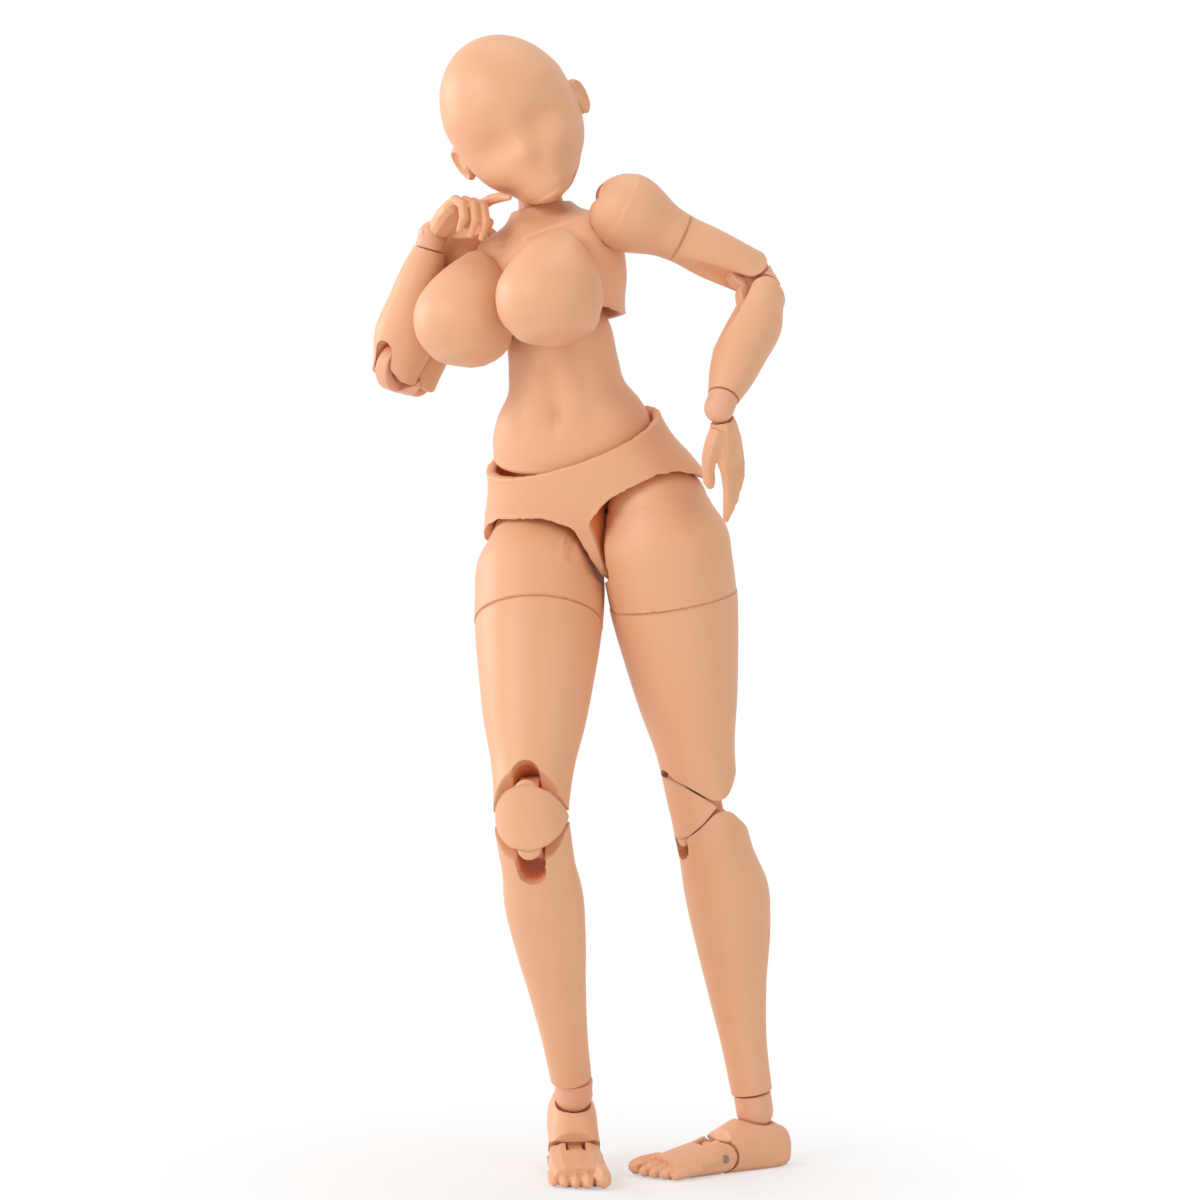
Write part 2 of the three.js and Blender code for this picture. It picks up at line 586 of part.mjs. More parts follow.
// Abdomen form about the waist hinge: a narrow waist flaring to a foot that rocks inside the pelvis rim.
const abdomenForm = () => leanedWithRim(form([
  [CHEST_UP - 3.2, WAIST_W * 0.74, 4.4, 4.3], [CHEST_UP - CHEST_RIM, WAIST_W * 0.91, 5.3, 5.2],
  [9.5, WAIST_W, 5.7, 5.6], [6.5, WAIST_W * 1.08, 5.9, 5.6], [4, RIM_W * 0.78, 6.1, 5.8],
  [1.5, RIM_W * 0.865, 6.25, 6.0], [0, RIM_W * 0.88, 6.25, 6.05], [-1.1, RIM_W * 0.865, 6.1, 5.9],
  [-1.6, RIM_W * 0.8, 5.4, 5.4],
], 20), 7);

function pelvis() {
  const bowlForm = leanedWithRim(form([
    [4.3, RIM_W * 0.92, 6.8, 6.7], [0, RIM_W * 0.915, 6.75, 6.65], [-1.6, RIM_W * 0.905, 6.7, 6.6],
    [-3.3, RIM_W * 0.885, 6.5, 6.4], [-3.6, RIM_W * 0.62, 5.6, 5.6], [-4.6, RIM_W * 0.3, 3.4, 3.4],
  ], 20), 90);
  const bowl = solid(bowlForm.translate(0, 0, RIM_UP));
  const ears = [-1, 1].map((k) => {
    const [a, b] = [k * 2.9, k * 4.3];
    const ear = joined(block(Math.min(a, b), Math.max(a, b), -1.6, 1.6, RIM_UP - 6, RIM_UP),
      bar(1.6, 0.7, "x", k * 3.6, 0, RIM_UP, 12));
    return cutBy(ear, bar(PIN_HOLE_R + 0.2, 2, "x", k * 3.6, 0, RIM_UP));
  });
  const legs = [-1, 1].map((k) => {
    const swept = [-16, 3, 22, 42].flatMap((swing) => [-10.5, 3, 16].map((out) => [swing, out]));
    const open = swept.map(([swing, out]) => {
      const room = cutBy(solid(thighForm(0.5, 16)), hipDisc(HIP_DISC_R - 0.4, HIP_DISC_X + 0.45));
      const g = named("room", room, skin, k < 0).geometry;
      g.rotateY(-k * out * rad);
      g.rotateX(-swing * rad);
      g.translate(k * HIP_HALF, 0, 0);
      return solid(g);
    });
    return joined(ball(HIP_BALL_R + 0.45, k * HIP_HALF, 0, 0, 12), ...open,
      bar(hipPegR + GAP, 3.4, "x", k * (HIP_HALF - HIP_BALL_R + 2), 0, 0, 12));
  });
  const front = RIM_UP - 14 * RIM_SLOPE;
  const back = RIM_UP + 14 * RIM_SLOPE;
  const above = prism([[-14, front], [14, back], [14, 40], [-14, 40]], 20);
  return cutBy(joined(cutBy(solid(pelvisForm()), bowl, above), ...ears), ...legs);
}

function spineLower() {
  const r = PIN_HOLE_R - 0.1;
  return joined(ball(2.5, 0, 0, 0, 10), bar(r, 4, "x", 0, 0, 0, 10), bar(r, 4.4, "y", 0, 0, 0, 10));
}

function abdomen() {
  return cutBy(solid(abdomenForm()),
    block(-5.2, 5.2, -2.95, 2.95, -9, 2.9),
    bar(PIN_HOLE_R + 0.2, 4.7, "y", 0, 0, 0, 10),
    bar(1.5 + GAP, 2.6, "z", 0, 0, CHEST_UP - 5.4, 14));
}

function spineUpper() {
  return joined(ball(2.8, 0, 0, 0, 10), bar(1.5, 3.6, "z", 0, 0, -3.8, 12),
    barTurned(PIN_HOLE_R - 0.1, 4.2, POSE.chestTilt));
}

const chestForm = (extra = 0) => form([
  [NECK_UP + 1.7, NECK_R + 1.0, NECK_R + 0.8, NECK_R + 1.0, 0.5], [NECK_UP + 0.5, 5.2, 3.9, 4.6, 0.4],
  [NECK_UP - 0.6, 8.2, 4.7, 5.4], [4.6, CHEST_W * 1.02, 5.6, 6.3], [2, CHEST_W, 6.6, 6.8],
  [-1, CHEST_W * 0.95, 7.4, 7.3], [-3.4, CHEST_W * 0.91, 7.6, 7.4], [-CHEST_RIM, CHEST_W * 0.89, 7.5, 7.4],
].map((s) => [s[0], s[1] + extra, s[2] + extra, s[3] + extra, s[4] ?? 0]), 24, 1);

function chest() {
  const skirt = solid(form([
    [-1.7, WAIST_W * 1.06, 6.3, 6.2], [-3.4, WAIST_W * 1.17, 6.6, 6.5],
    [-CHEST_RIM - 1, WAIST_W * 1.26, 6.9, 6.8],
  ], 18));
  const neckWell = solid(new THREE.CylinderGeometry(NECK_R + 0.75, NECK_R + 0.3, 4, 14)
    .rotateX(Math.PI / 2).translate(0, 0.5, NECK_UP + 2));
  const arms = [-1, 1].map((k) => joined(
    ball(DELTOID_R + 0.45, k * SHOULDER_X, 0.6, SHOULDER_Z, 12),
    bar(shoulderPegR + GAP, 3.4, "x", k * (SHOULDER_X - DELTOID_R - 1.6), 0.6, SHOULDER_Z, 12)));
  return cutBy(solid(chestForm()), skirt, neckWell, ...arms,
    ball(2.8 + 0.4, 0, 0, 0, 10), bar(PIN_HOLE_R + 0.2, 4.5, "x", 0, 0, 0, 10),
    bar(1.5 + GAP + 0.9, 2, "z", 0, 0, -2.6, 14),
    ball(NECK_R + 0.2 + 0.4, 0, 0.5, NECK_UP, 10), bar(PIN_HOLE_R + 0.2, 4.4, "x", 0, 0.5, NECK_UP, 10));
}

function bust() {
  const r = BUST_R;
  const g = form([
    [r * 1.22, r * 0.12, r * 0.1, r * 0.2, r * 0.62], [r * 1.02, r * 0.44, r * 0.4, r * 0.5, r * 0.42],
    [r * 0.62, r * 0.8, r * 0.78, r * 0.9, r * 0.13], [0, r, r, r * 1.1],
    [-r * 0.52, r * 0.86, r * 0.86, r],
    [-r * 0.86, r * 0.5, r * 0.5, r * 0.8], [-r, r * 0.1, r * 0.1, r * 0.3],
  ], 14);
  g.translate(BUST_X, -9.7, -2.4);
  const half = block(GAP / 2, 20, -30, 5, -20, 20);
  const belly = solid(form([[-CHEST_RIM + 0.3, CHEST_W, 8.1, 8], [-20, CHEST_W, 8.6, 8]], 18));
  return cutBy(solid(g).intersect(half), solid(chestForm(GAP)), belly);
}

// Neck and head

function neckPost() {
  const column = solid(form(
    [[NECK_LENGTH - 2.2, NECK_R * 0.93], [NECK_LENGTH * 0.45, NECK_R * 0.96], [0.6, NECK_R]]
      .map(([z, r]) => [z, r, r, r]), 14));
  const post = joined(ball(NECK_R + 0.2, 0, 0, 0, 12), column,
    barTurned(PIN_HOLE_R - 0.1, 4.1, -POSE.neckTilt));
  return cutBy(post, bar(1.2 + GAP, 2.2, "z", 0, 0, NECK_LENGTH - 2.4));
}

function headJoint() {
  return joined(ball(2.4, 0, 0, HEAD_PIVOT, 10), bar(1.2, 2.6, "z", 0, 0, HEAD_PIVOT - 3),
    bar(PIN_HOLE_R - 0.1, 3.6, "y", 0, 0, HEAD_PIVOT, 10));
}

const headForm = () => form([
  [HEAD_TOP, 0.6, 0.6, 0.6, 0.4], [HEAD_TOP - 0.9, 3.6, 3.7, 4.0, 0.4],
  [HEAD_TOP - 3.2, HEAD_W * 0.77, 6.3, 6.8, 0.2],
  [HEAD_TOP - 6.4, HEAD_W * 0.97, 8.0, 8.2], [7, HEAD_W, 8.4, 8.3], [3.8, HEAD_W * 0.97, 8.3, 7.4],
  [1, HEAD_W * 0.87, 8.1, 5.6, -0.2], [-1.6, HEAD_W * 0.68, 7.0, 4.6, -1.2],
  [-3.6, HEAD_W * 0.44, 4.8, 3.8, -3.2],
  [-CHIN_DROP + 0.4, HEAD_W * 0.24, 2.8, 2.6, -4.8], [-CHIN_DROP, HEAD_W * 0.08, 0.8, 0.8, -5.4],
], 18);

function head() {
  const eyes = [-1, 1].map((k) => ball(1, k * 3.3, -9.5, 5.0, 12, 2.6, 1.9, 1.7));
  const ears = [-1, 1].map((k) => ball(1, k * (HEAD_W - 0.1), 1.2, 4.4, 8, 0.75, 1.5, 2.3));
  const nose = ball(1, 0, -8.1, 2.2, 8, 0.75, 1.1, 1.3);
  const well = solid(new THREE.CylinderGeometry(NECK_R + 0.8, NECK_R + 3.1, 9, 12)
    .rotateX(Math.PI / 2).translate(0, 0, -3.4));
  return cutBy(joined(cutBy(solid(headForm()), ...eyes), ...ears, nose),
    well, ball(2.4 + 0.4, 0, 0, HEAD_PIVOT, 10), bar(PIN_HOLE_R + 0.2, 3.9, "y", 0, 0, HEAD_PIVOT, 10));
}

// Rig: nested groups, one turning axis each

function turn(parent, name, at, axis, degrees) {
  const g = new THREE.Group();
  g.name = name;
  g.position.set(...at);
  g.quaternion.setFromAxisAngle(new THREE.Vector3(...axis), degrees * rad);
  g.userData.axis = axis;
  parent.add(g);
  return g;
}

function pin(name, half, along, at, mirror, material = joint, r = PIN_R) {
  return named(name, bar(r, half, along, ...at, 8), material, mirror);
}

const X = [1, 0, 0];
const Y = [0, 1, 0];
const Z = [0, 0, 1];
const HERE = [0, 0, 0];

const figure = new THREE.Group();
figure.name = "action_figure_body";
const stance = turn(figure, "stance_roll", HERE, Y, POSE.pelvisRoll);
const hips = turn(stance, "pelvis", HERE, X, POSE.pelvisPitch);
hips.add(named("pelvis_shell", pelvis(), skin));

const waist = turn(hips, "waist_bend", [0, 0, RIM_UP], X, POSE.waistBend);
waist.add(named("spine_lower_joint", spineLower(), joint));
const belly = turn(waist, "waist_tilt", HERE, Y, POSE.waistTilt);
belly.add(named("abdomen_shell", abdomen(), skin));
const spine = turn(belly, "chest_twist", [0, 0, CHEST_UP], Z, POSE.chestTwist);
const spineSet = turn(spine, "chest_lean", HERE, Y, POSE.chestTilt);
spine.add(named("spine_upper_joint", spineUpper(), joint));
const torso = turn(spineSet, "chest_bend", HERE, X, POSE.chestBend);
torso.add(named("chest_shell", chest(), skin));
torso.add(named("bust_left", bust(), skin));
torso.add(named("bust_right", bust(), skin, true));

const neck = turn(torso, "neck_nod", [0, 0.5, NECK_UP], X, POSE.neckNod);
const neckSet = turn(neck, "neck_lean", HERE, Y, POSE.neckTilt);
neckSet.add(named("neck_post", neckPost(), skin));
const skull = turn(neckSet, "head_turn", [0, 0, NECK_LENGTH], Z, POSE.headTurn);
skull.add(named("head_joint", headJoint(), joint));
const face = turn(skull, "head_tilt", [0, 0, HEAD_PIVOT], Y, POSE.headTilt);
const faceSet = turn(face, "head_level", HERE, X, POSE.headNod);
const headShell = named("head_shell", moved(head(), 0, 0, -HEAD_PIVOT), skin);
faceSet.add(headShell);

const HANDS = {
  left: {
    curls: [22, 30, 34, 38], turned: 90,
    thumb: [
      [0, -1.2, -2.2], [-0.6, -1.9, -3.6], [-1.4, -2.3, -5.2],
      [-1.9, -2.4, -6.8], [-2.1, -2.4, -8.3], [-2.1, -2.4, -9.2],
    ],
  },
  right: {
    curls: [34, 132, 138, 142], turned: 0,
    thumb: [
      [0, -1.2, -2.2], [-0.9, -1.9, -3.4], [-1.9, -2.2, -5],
      [-2.5, -2.2, -6.6], [-2.7, -2.1, -8], [-2.7, -2.1, -8.9],
    ],
  },
};

function arm(side, k, pose) {
  const mirror = k < 0;
  const at = [k * SHOULDER_X, 0.6, SHOULDER_Z];
  const a = turn(torso, `shoulder_swing_${side}`, at, X, -pose.swing);
  const peg = cutBy(
    joined(bar(shoulderLugR, shoulderLugT / 2, "y", 0, 0, 0, 12),
      bar(shoulderPegR, 4, "x", -4.6, 0, 0)),
    bar(PIN_HOLE_R, 2, "y", 0, 0, 0));
  a.add(named(`shoulder_joint_${side}`, peg, joint, mirror));
  const b = turn(a, `arm_raise_${side}`, HERE, Y, -k * pose.raise);
  b.add(named(`upper_arm_${side}`, upperArm(), skin, mirror));
  b.add(pin(`shoulder_pin_${side}`, 2.9, "y", HERE, mirror));
  const c = turn(b, `bicep_turn_${side}`, HERE, Z, k * pose.bicep);
  c.add(named(`bicep_${side}`, bicep(), skin, mirror));
  c.add(pin(`elbow_pin_upper_${side}`, 2.1, "x", [0, 0, -UPPER_ARM], mirror));
  const d = turn(c, `elbow_upper_${side}`, [0, 0, -UPPER_ARM], X, -pose.elbow);
  d.add(named(`elbow_block_${side}`, elbowBlock(), joint, mirror));
  const e = turn(d, `elbow_lower_${side}`, [0, 0, -2 * ELBOW_HALF], X, -pose.elbow);
  e.add(named(`forearm_${side}`, forearm(), skin, mirror));
  e.add(pin(`elbow_pin_lower_${side}`, 2.1, "x", HERE, mirror));
  const f = turn(e, `wrist_turn_${side}`, [0, 0, -FOREARM], Z, k * pose.wrist);
  f.add(named(`wrist_block_${side}`, wristBlock(), joint, mirror));
  f.add(pin(`wrist_pin_${side}`, 1.5, "y", HERE, mirror));
  const h = turn(f, `hand_tilt_${side}`, HERE, Y, k * pose.hand);
  h.add(named(`hand_${side}`, hand(HANDS[side]), skin, mirror));
}

function leg(side, k, pose) {
  const mirror = k < 0;
  const a = turn(hips, `hip_swing_${side}`, [k * HIP_HALF, 0, 0], X, -pose.hip);
  const peg = cutBy(
    joined(bar(hipLugR, hipLugT / 2, "y", 0, 0, 0, 12),
      bar(hipPegR, (HIP_HALF - 0.9) / 2, "x", -(HIP_HALF - 0.9) / 2, 0, 0, 14)),
    bar(PIN_HOLE_R, 2, "y", 0, 0, 0),
    block(-9, -HIP_HALF + 0.9, -3, 3, -3, 3));
  a.add(named(`hip_joint_${side}`, peg, joint, mirror));
  const b = turn(a, `leg_raise_${side}`, HERE, Y, -k * pose.out);
  b.add(named(`thigh_upper_${side}`, thighUpper(), skin, mirror));
  b.add(pin(`hip_pin_${side}`, 4, "y", HERE, mirror));
  const c = turn(b, `thigh_turn_${side}`, HERE, Z, -k * pose.thigh);
  c.add(named(`thigh_lower_${side}`, thighLower(), skin, mirror));
  c.add(pin(`knee_pin_upper_${side}`, 3.3, "x", [0, 0, -THIGH_LENGTH], mirror));
  const d = turn(c, `knee_upper_${side}`, [0, 0, -THIGH_LENGTH], X, pose.knee);
  d.add(named(`knee_block_${side}`, kneeBlock(), joint, mirror));
  d.add(named(`knee_cap_${side}`, kneeCap(), skin, mirror));
  const e = turn(d, `knee_lower_${side}`, [0, 0, -2 * KNEE_HALF], X, pose.knee);
  e.add(named(`shin_${side}`, shin(), skin, mirror));
  e.add(pin(`knee_pin_lower_${side}`, 3.3, "x", HERE, mirror));
  // The foot is set heading as photographed with its toes flat: turn, lean and tilt of the ankle follow.
  figure.updateMatrixWorld(true);
  const axisTurn = (axis, degrees) => new THREE.Quaternion()
    .setFromAxisAngle(new THREE.Vector3(...axis), degrees * rad);
  const want = axisTurn(Z, pose.heading).multiply(axisTurn(X, pose.lift));
  const rest = e.getWorldQuaternion(new THREE.Quaternion()).invert().multiply(want);
  const set = new THREE.Euler().setFromQuaternion(rest, "ZYX");
  const deg = THREE.MathUtils.radToDeg;
  const f = turn(e, `ankle_turn_${side}`, [0, 0, -SHIN_LENGTH], Z, deg(set.z));
  const r = turn(f, `ankle_roll_${side}`, HERE, Y, deg(set.y));
  r.add(named(`ankle_block_${side}`, ankleBlock(k * deg(set.y)), joint, mirror));
  r.add(pin(`ankle_pin_${side}`, 2.15, "x", HERE, mirror));
  const g = turn(r, `foot_tilt_${side}`, HERE, X, deg(set.x));
  g.add(named(`foot_${side}`, foot(), skin, mirror));
  const h = turn(g, `toe_bend_${side}`, [0, -TOE_HINGE, toeAxisZ], X, -pose.lift);
  h.add(named(`toes_${side}`, toes(), skin, mirror));
  h.add(pin(`toe_pin_${side}`, 2.7, "x", HERE, mirror, steel));
}

// Height of the sole under the toe hinge for a knee bend shared by both hinges of the knee.
function soleHeight(k, pose, knee) {
  const at = new THREE.Matrix4().copy(hips.matrixWorld);
  const move = (x, y, z) => at.multiply(new THREE.Matrix4().makeTranslation(x, y, z));
  const spin = (axis, degrees) => at.multiply(new THREE.Matrix4()
    .makeRotationAxis(new THREE.Vector3(...axis), degrees * rad));
  move(k * HIP_HALF, 0, 0);
  spin(X, -pose.hip);
  spin(Y, -k * pose.out);
  spin(Z, -k * pose.thigh);
  move(0, 0, -THIGH_LENGTH);
  spin(X, knee);
  move(0, 0, -2 * KNEE_HALF);
  spin(X, knee);
  move(0, 0, -SHIN_LENGTH);
  const ball = new THREE.Vector3(0, -TOE_HINGE, toeAxisZ)
    .applyAxisAngle(new THREE.Vector3(...X), pose.lift * rad);
  return at.elements[14] + ball.z - TOE_HINGE_Z;
}

// The bent knee is folded until both soles stand on one floor.
figure.updateMatrixWorld(true);
const floorZ = soleHeight(1, LEFT, LEFT.knee);
let [low, high] = [0, KNEE_FLEX - 4];
for (let i = 0; i < 40; i++) {
  const middle = (low + high) / 2;
  if (soleHeight(-1, RIGHT, middle) < floorZ) low = middle;
  else high = middle;
}
RIGHT.knee = (low + high) / 2;

arm("left", 1, LEFT);
arm("right", -1, RIGHT);
leg("left", 1, LEFT);
leg("right", -1, RIGHT);

// Origin at the middle of the footprint of the whole figure, lowest point on z = 0.
figure.updateMatrixWorld(true);
const box = new THREE.Box3().setFromObject(figure, true);
stance.position.set(-(box.min.x + box.max.x) / 2, -(box.min.y + box.max.y) / 2, -box.min.z);
figure.updateMatrixWorld(true);

export default figure;
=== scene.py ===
import json
import math

import bmesh
import bpy
import numpy as np
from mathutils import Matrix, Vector


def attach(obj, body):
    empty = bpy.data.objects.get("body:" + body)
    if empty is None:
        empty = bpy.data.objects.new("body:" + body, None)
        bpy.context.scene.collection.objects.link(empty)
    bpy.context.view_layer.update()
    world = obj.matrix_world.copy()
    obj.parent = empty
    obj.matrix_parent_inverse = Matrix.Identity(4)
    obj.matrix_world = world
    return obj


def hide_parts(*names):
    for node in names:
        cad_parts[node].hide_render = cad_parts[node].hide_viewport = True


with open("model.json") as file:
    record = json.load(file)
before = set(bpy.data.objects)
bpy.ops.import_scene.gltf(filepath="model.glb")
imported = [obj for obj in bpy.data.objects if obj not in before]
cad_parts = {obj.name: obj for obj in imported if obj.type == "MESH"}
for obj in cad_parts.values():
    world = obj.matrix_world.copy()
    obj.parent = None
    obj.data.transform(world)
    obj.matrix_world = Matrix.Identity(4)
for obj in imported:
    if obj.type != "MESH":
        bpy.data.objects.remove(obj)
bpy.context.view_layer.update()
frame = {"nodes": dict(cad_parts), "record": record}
JOINTS = {j["name"]: j for j in frame["record"]["behaviour"]["joints"]}
BODY_OF = {n: b for b, ns in frame["record"]["behaviour"]["bodies"].items() for n in ns}
MM = 0.001
SIDES = {"left": 1, "right": -1}  # the figure's own sides, and the way each lies along its x

# Driving sizes of the figure, millimetres, as in the solids: W is a half width, R a radius

GAP = 0.3
HIP_BALL_R = 6.0
HIP_DISC_R = 8.4  # flat facing on the inner side of the thigh
HIP_DISC_X = 5.7
THIGH_LENGTH = 33.6
THIGH_SEAM = 11.1
THIGH_W = 7.7
KNEE_W = 4.5
KNEE_HALF = 2.6  # half the distance between the knee's two hinges
KNEE_LUG_T = 2.6
SHIN_LENGTH = 36.4
CALF_W = 4.7
ANKLE_R = 2.25
ANKLE_SOCKET_R = 2.67
ANKLE_HEIGHT = 6.9
FOOT_W = 3.2
HEEL_BACK = 4.8
TOE_HINGE = 6.4
TOE_HINGE_Z = 2.0
TOE_TIP = 16.4
RIM_UP = 10.7
CHEST_UP = 19.6
RIM_W = 11.4
RIM_SLOPE = 0.3
WAIST_W = 6.7
CHEST_W = 10.2
CHEST_RIM = 5.5
BUST_R = 6.2
BUST_X = 6.4
BUST_FORWARD = 9.7
BUST_DOWN = 2.4
NECK_UP = 7.2
NECK_BACK = 0.5
NECK_R = 2.7
NECK_LENGTH = 7.0
HEAD_W = 7.9
HEAD_TOP = 16.4
HEAD_PIVOT = 1.6
HEAD_TILT = -21.0
HEAD_NOD = 1.0
CHIN_DROP = 4.8
DELTOID_R = 4.6
ARM_SEAM = 6.8
ARM_R = 2.95
UPPER_ARM = 15.7
ELBOW_HALF = 1.9
ELBOW_LUG_T = 1.8
FOREARM = 16.4
FOREARM_W = 3.8
WRIST_R = 1.75
WRIST_SOCKET_R = 2.1
PIN_HOLE_R = 0.8

# Camera: where the photograph was taken from, degrees and millimetres

VIEW_AZIMUTH = 20.0
VIEW_ELEVATION = 4.0
VIEW_DISTANCE = 600.0
VIEW_RIGHT = 2.24
VIEW_HEIGHT = 70.0
PICTURE_WIDTH = 144.0


# Materials

# Sockets of a Mix node set to colour: three inputs and the output
MIX_SHARE, MIX_FROM, MIX_TO, MIX_COLOUR = 0, 6, 7, 2


def node(tree, kind, settings=None, **more):
    """One shader node with its properties and socket values set by name."""
    made = tree.nodes.new(kind)
    for key, value in {**(settings or {}), **more}.items():
        if key in made.inputs:
            made.inputs[key].default_value = value
        else:
            setattr(made, key, value)
    return made


def srgb(red, green, blue):
    """Linear colour, with alpha, of an 8-bit display colour."""
    levels = np.array([red, green, blue]) / 255
    linear = np.where(levels <= 0.04045, levels / 12.92, ((levels + 0.055) / 1.055) ** 2.4)
    return (*linear.tolist(), 1.0)


def new_material(name):
    """Node material: returns it, its node tree, its shader and its Object coordinates."""
    material = bpy.data.materials.new(name)
    material.use_nodes = True
    tree = material.node_tree
    place = node(tree, "ShaderNodeTexCoord")
    return material, tree, tree.nodes["Principled BSDF"], place.outputs["Object"]


def moulded_plastic(name, colour, cloud, painted_shade, roughness):
    """Satin moulded plastic: slow cloudy tint, fine matt grain in the bump, and painted shade in
    cuts: a darker, more orange colour.
    """
    material, tree, shader, place = new_material(name)
    clouds = node(tree, "ShaderNodeTexNoise", Scale=70.0, Detail=2.0, Roughness=0.5)
    grain = node(tree, "ShaderNodeTexNoise", Scale=5200.0, Detail=1.0, Roughness=0.6)
    wear = node(tree, "ShaderNodeTexNoise", Scale=420.0, Detail=3.0, Roughness=0.6)
    tint = node(tree, "ShaderNodeMix", data_type="RGBA")
    tint.inputs[MIX_FROM].default_value = colour
    tint.inputs[MIX_TO].default_value = cloud
    # Painted shade: a point attribute mixes the base colour towards the darker, more orange colour
    # that stands for the shade in cuts and gaps.
    depth = node(tree, "ShaderNodeAttribute", attribute_name="painted_shade")
    deep = node(tree, "ShaderNodeMix", data_type="RGBA")
    deep.inputs[MIX_TO].default_value = painted_shade
    gloss = node(tree, "ShaderNodeMapRange",
                 {"To Min": roughness - 0.05, "To Max": roughness + 0.07})
    bump = node(tree, "ShaderNodeBump", Strength=0.09, Distance=0.00003)
    link = tree.links.new
    for texture in (clouds, grain, wear):
        link(place, texture.inputs["Vector"])
    link(clouds.outputs["Fac"], tint.inputs[MIX_SHARE])
    link(tint.outputs[MIX_COLOUR], deep.inputs[MIX_FROM])
    link(depth.outputs["Fac"], deep.inputs[MIX_SHARE])
    link(deep.outputs[MIX_COLOUR], shader.inputs["Base Color"])
    link(wear.outputs["Fac"], gloss.inputs["Value"])
    link(gloss.outputs["Result"], shader.inputs["Roughness"])
    link(grain.outputs["Fac"], bump.inputs["Height"])
    link(bump.outputs["Normal"], shader.inputs["Normal"])
    shader.inputs["Subsurface Weight"].default_value = 0.12
    shader.inputs["Subsurface Radius"].default_value = (1.0, 0.45, 0.2)
    shader.inputs["Subsurface Scale"].default_value = 0.0011
    shader.inputs["Specular IOR Level"].default_value = 0.42
    return material


def turned_steel(name):
    """Pin steel: grey with fine turning marks across the pin and a little tarnish."""
    material, tree, shader, place = new_material(name)
    shader.inputs["Metallic"].default_value = 1.0
    tarnish = node(tree, "ShaderNodeTexNoise", Scale=900.0, Detail=3.0)
    marks = node(tree, "ShaderNodeTexNoise", Scale=9000.0, Detail=1.0)
    colour = node(tree, "ShaderNodeValToRGB")
    colour.color_ramp.elements[0].color = srgb(96, 84, 76)
    colour.color_ramp.elements[1].color = srgb(158, 146, 136)
    gloss = node(tree, "ShaderNodeMapRange", {"To Min": 0.26, "To Max": 0.44})
    bump = node(tree, "ShaderNodeBump", Strength=0.12, Distance=0.00002)
    link = tree.links.new
    link(place, tarnish.inputs["Vector"])
    link(place, marks.inputs["Vector"])
    link(tarnish.outputs["Fac"], colour.inputs["Fac"])
    link(colour.outputs["Color"], shader.inputs["Base Color"])
    link(marks.outputs["Fac"], gloss.inputs["Value"])
    link(gloss.outputs["Result"], shader.inputs["Roughness"])
    link(marks.outputs["Fac"], bump.inputs["Height"])
    link(bump.outputs["Normal"], shader.inputs["Normal"])
    return material


# Each plastic's last colour is painted shade: the darker orange shown in cuts, seams and gaps.
FINISHES = {
    "skin_plastic": moulded_plastic(
        "skin_plastic", colour=srgb(231, 179, 142), cloud=srgb(226, 171, 132),
        painted_shade=srgb(236, 144, 90), roughness=0.45),
    "joint_plastic": moulded_plastic(
        "joint_plastic", colour=srgb(232, 178, 149), cloud=srgb(226, 169, 137),
        painted_shade=srgb(234, 140, 94), roughness=0.45),
    "metal_pin": turned_steel("pin_steel"),
}


# Places: each piece's own axes, from the joints beside it


def joint_at(name):
    """The joint's centre in millimetres."""
    return np.array(JOINTS[name]["pos_m"]) / MM


def joint_along(name, towards):
    """The joint's axis, pointing to the same side as the given direction."""
    axis = np.array(JOINTS[name]["axis"])
    return axis if axis @ towards > 0 else -axis


def unit(v):
    """The vector made one long."""
    return v / np.linalg.norm(v)


class Place:
    """Origin and three axes of a piece; rows of axes are its X, Y and Z in the figure's frame."""

    def __init__(self, origin, x, z):
        z = unit(z)
        x = unit(x - (x @ z) * z)
        self.origin = origin
        self.axes = np.array([x, np.cross(z, x), z])

    def local(self, world):
        """Points in metres of the figure's frame, as millimetres along the piece's axes."""
        return (world / MM - self.origin) @ self.axes.T

    def world(self, local):
        """The way back from local."""
        return (local @ self.axes + self.origin) * MM

    def turned(self, axis, degrees):
        """The same origin, turned about the piece's own axis 0, 1 or 2."""
        c, s = math.cos(math.radians(degrees)), math.sin(math.radians(degrees))
        i, j = (axis + 1) % 3, (axis + 2) % 3
        rows = self.axes.copy()
        rows[i] = c * self.axes[i] + s * self.axes[j]
        rows[j] = c * self.axes[j] - s * self.axes[i]
        return Place(self.origin, rows[0], rows[2])

    def moved(self, x, y, z):
        """The same axes, with the origin moved along them."""
        return Place(self.origin + np.array([x, y, z]) @ self.axes, self.axes[0], self.axes[2])


def body_places():
    """Places of the pelvis, abdomen, chest, neck and head."""
    left, right = joint_at("hip_swing_left"), joint_at("hip_swing_right")
    waist, chest, neck = joint_at("waist_bend"), joint_at("chest_twist"), joint_at("neck_nod")
    hips = Place((left + right) / 2, left - right, waist - (left + right) / 2)
    side = np.cross(joint_along("waist_tilt", hips.axes[1]), chest - waist)
    abdomen = Place(waist, side, chest - waist)
    across = unit(joint_at("shoulder_swing_left") - joint_at("shoulder_swing_right"))
    lean = math.degrees(math.atan2(NECK_BACK, NECK_UP))
    torso = Place(chest, across, neck - chest).turned(0, lean)
    skull = joint_at("head_turn") - neck
    post = Place(neck, across, skull)
    nod = joint_along("head_tilt", post.axes[1])
    head = Place(joint_at("head_tilt"), np.cross(nod, skull), skull)
    head = head.turned(1, HEAD_TILT).turned(0, HEAD_NOD).moved(0, 0, -HEAD_PIVOT)
    return {"pelvis": hips, "abdomen": abdomen, "chest": torso, "neck": post, "head": head}


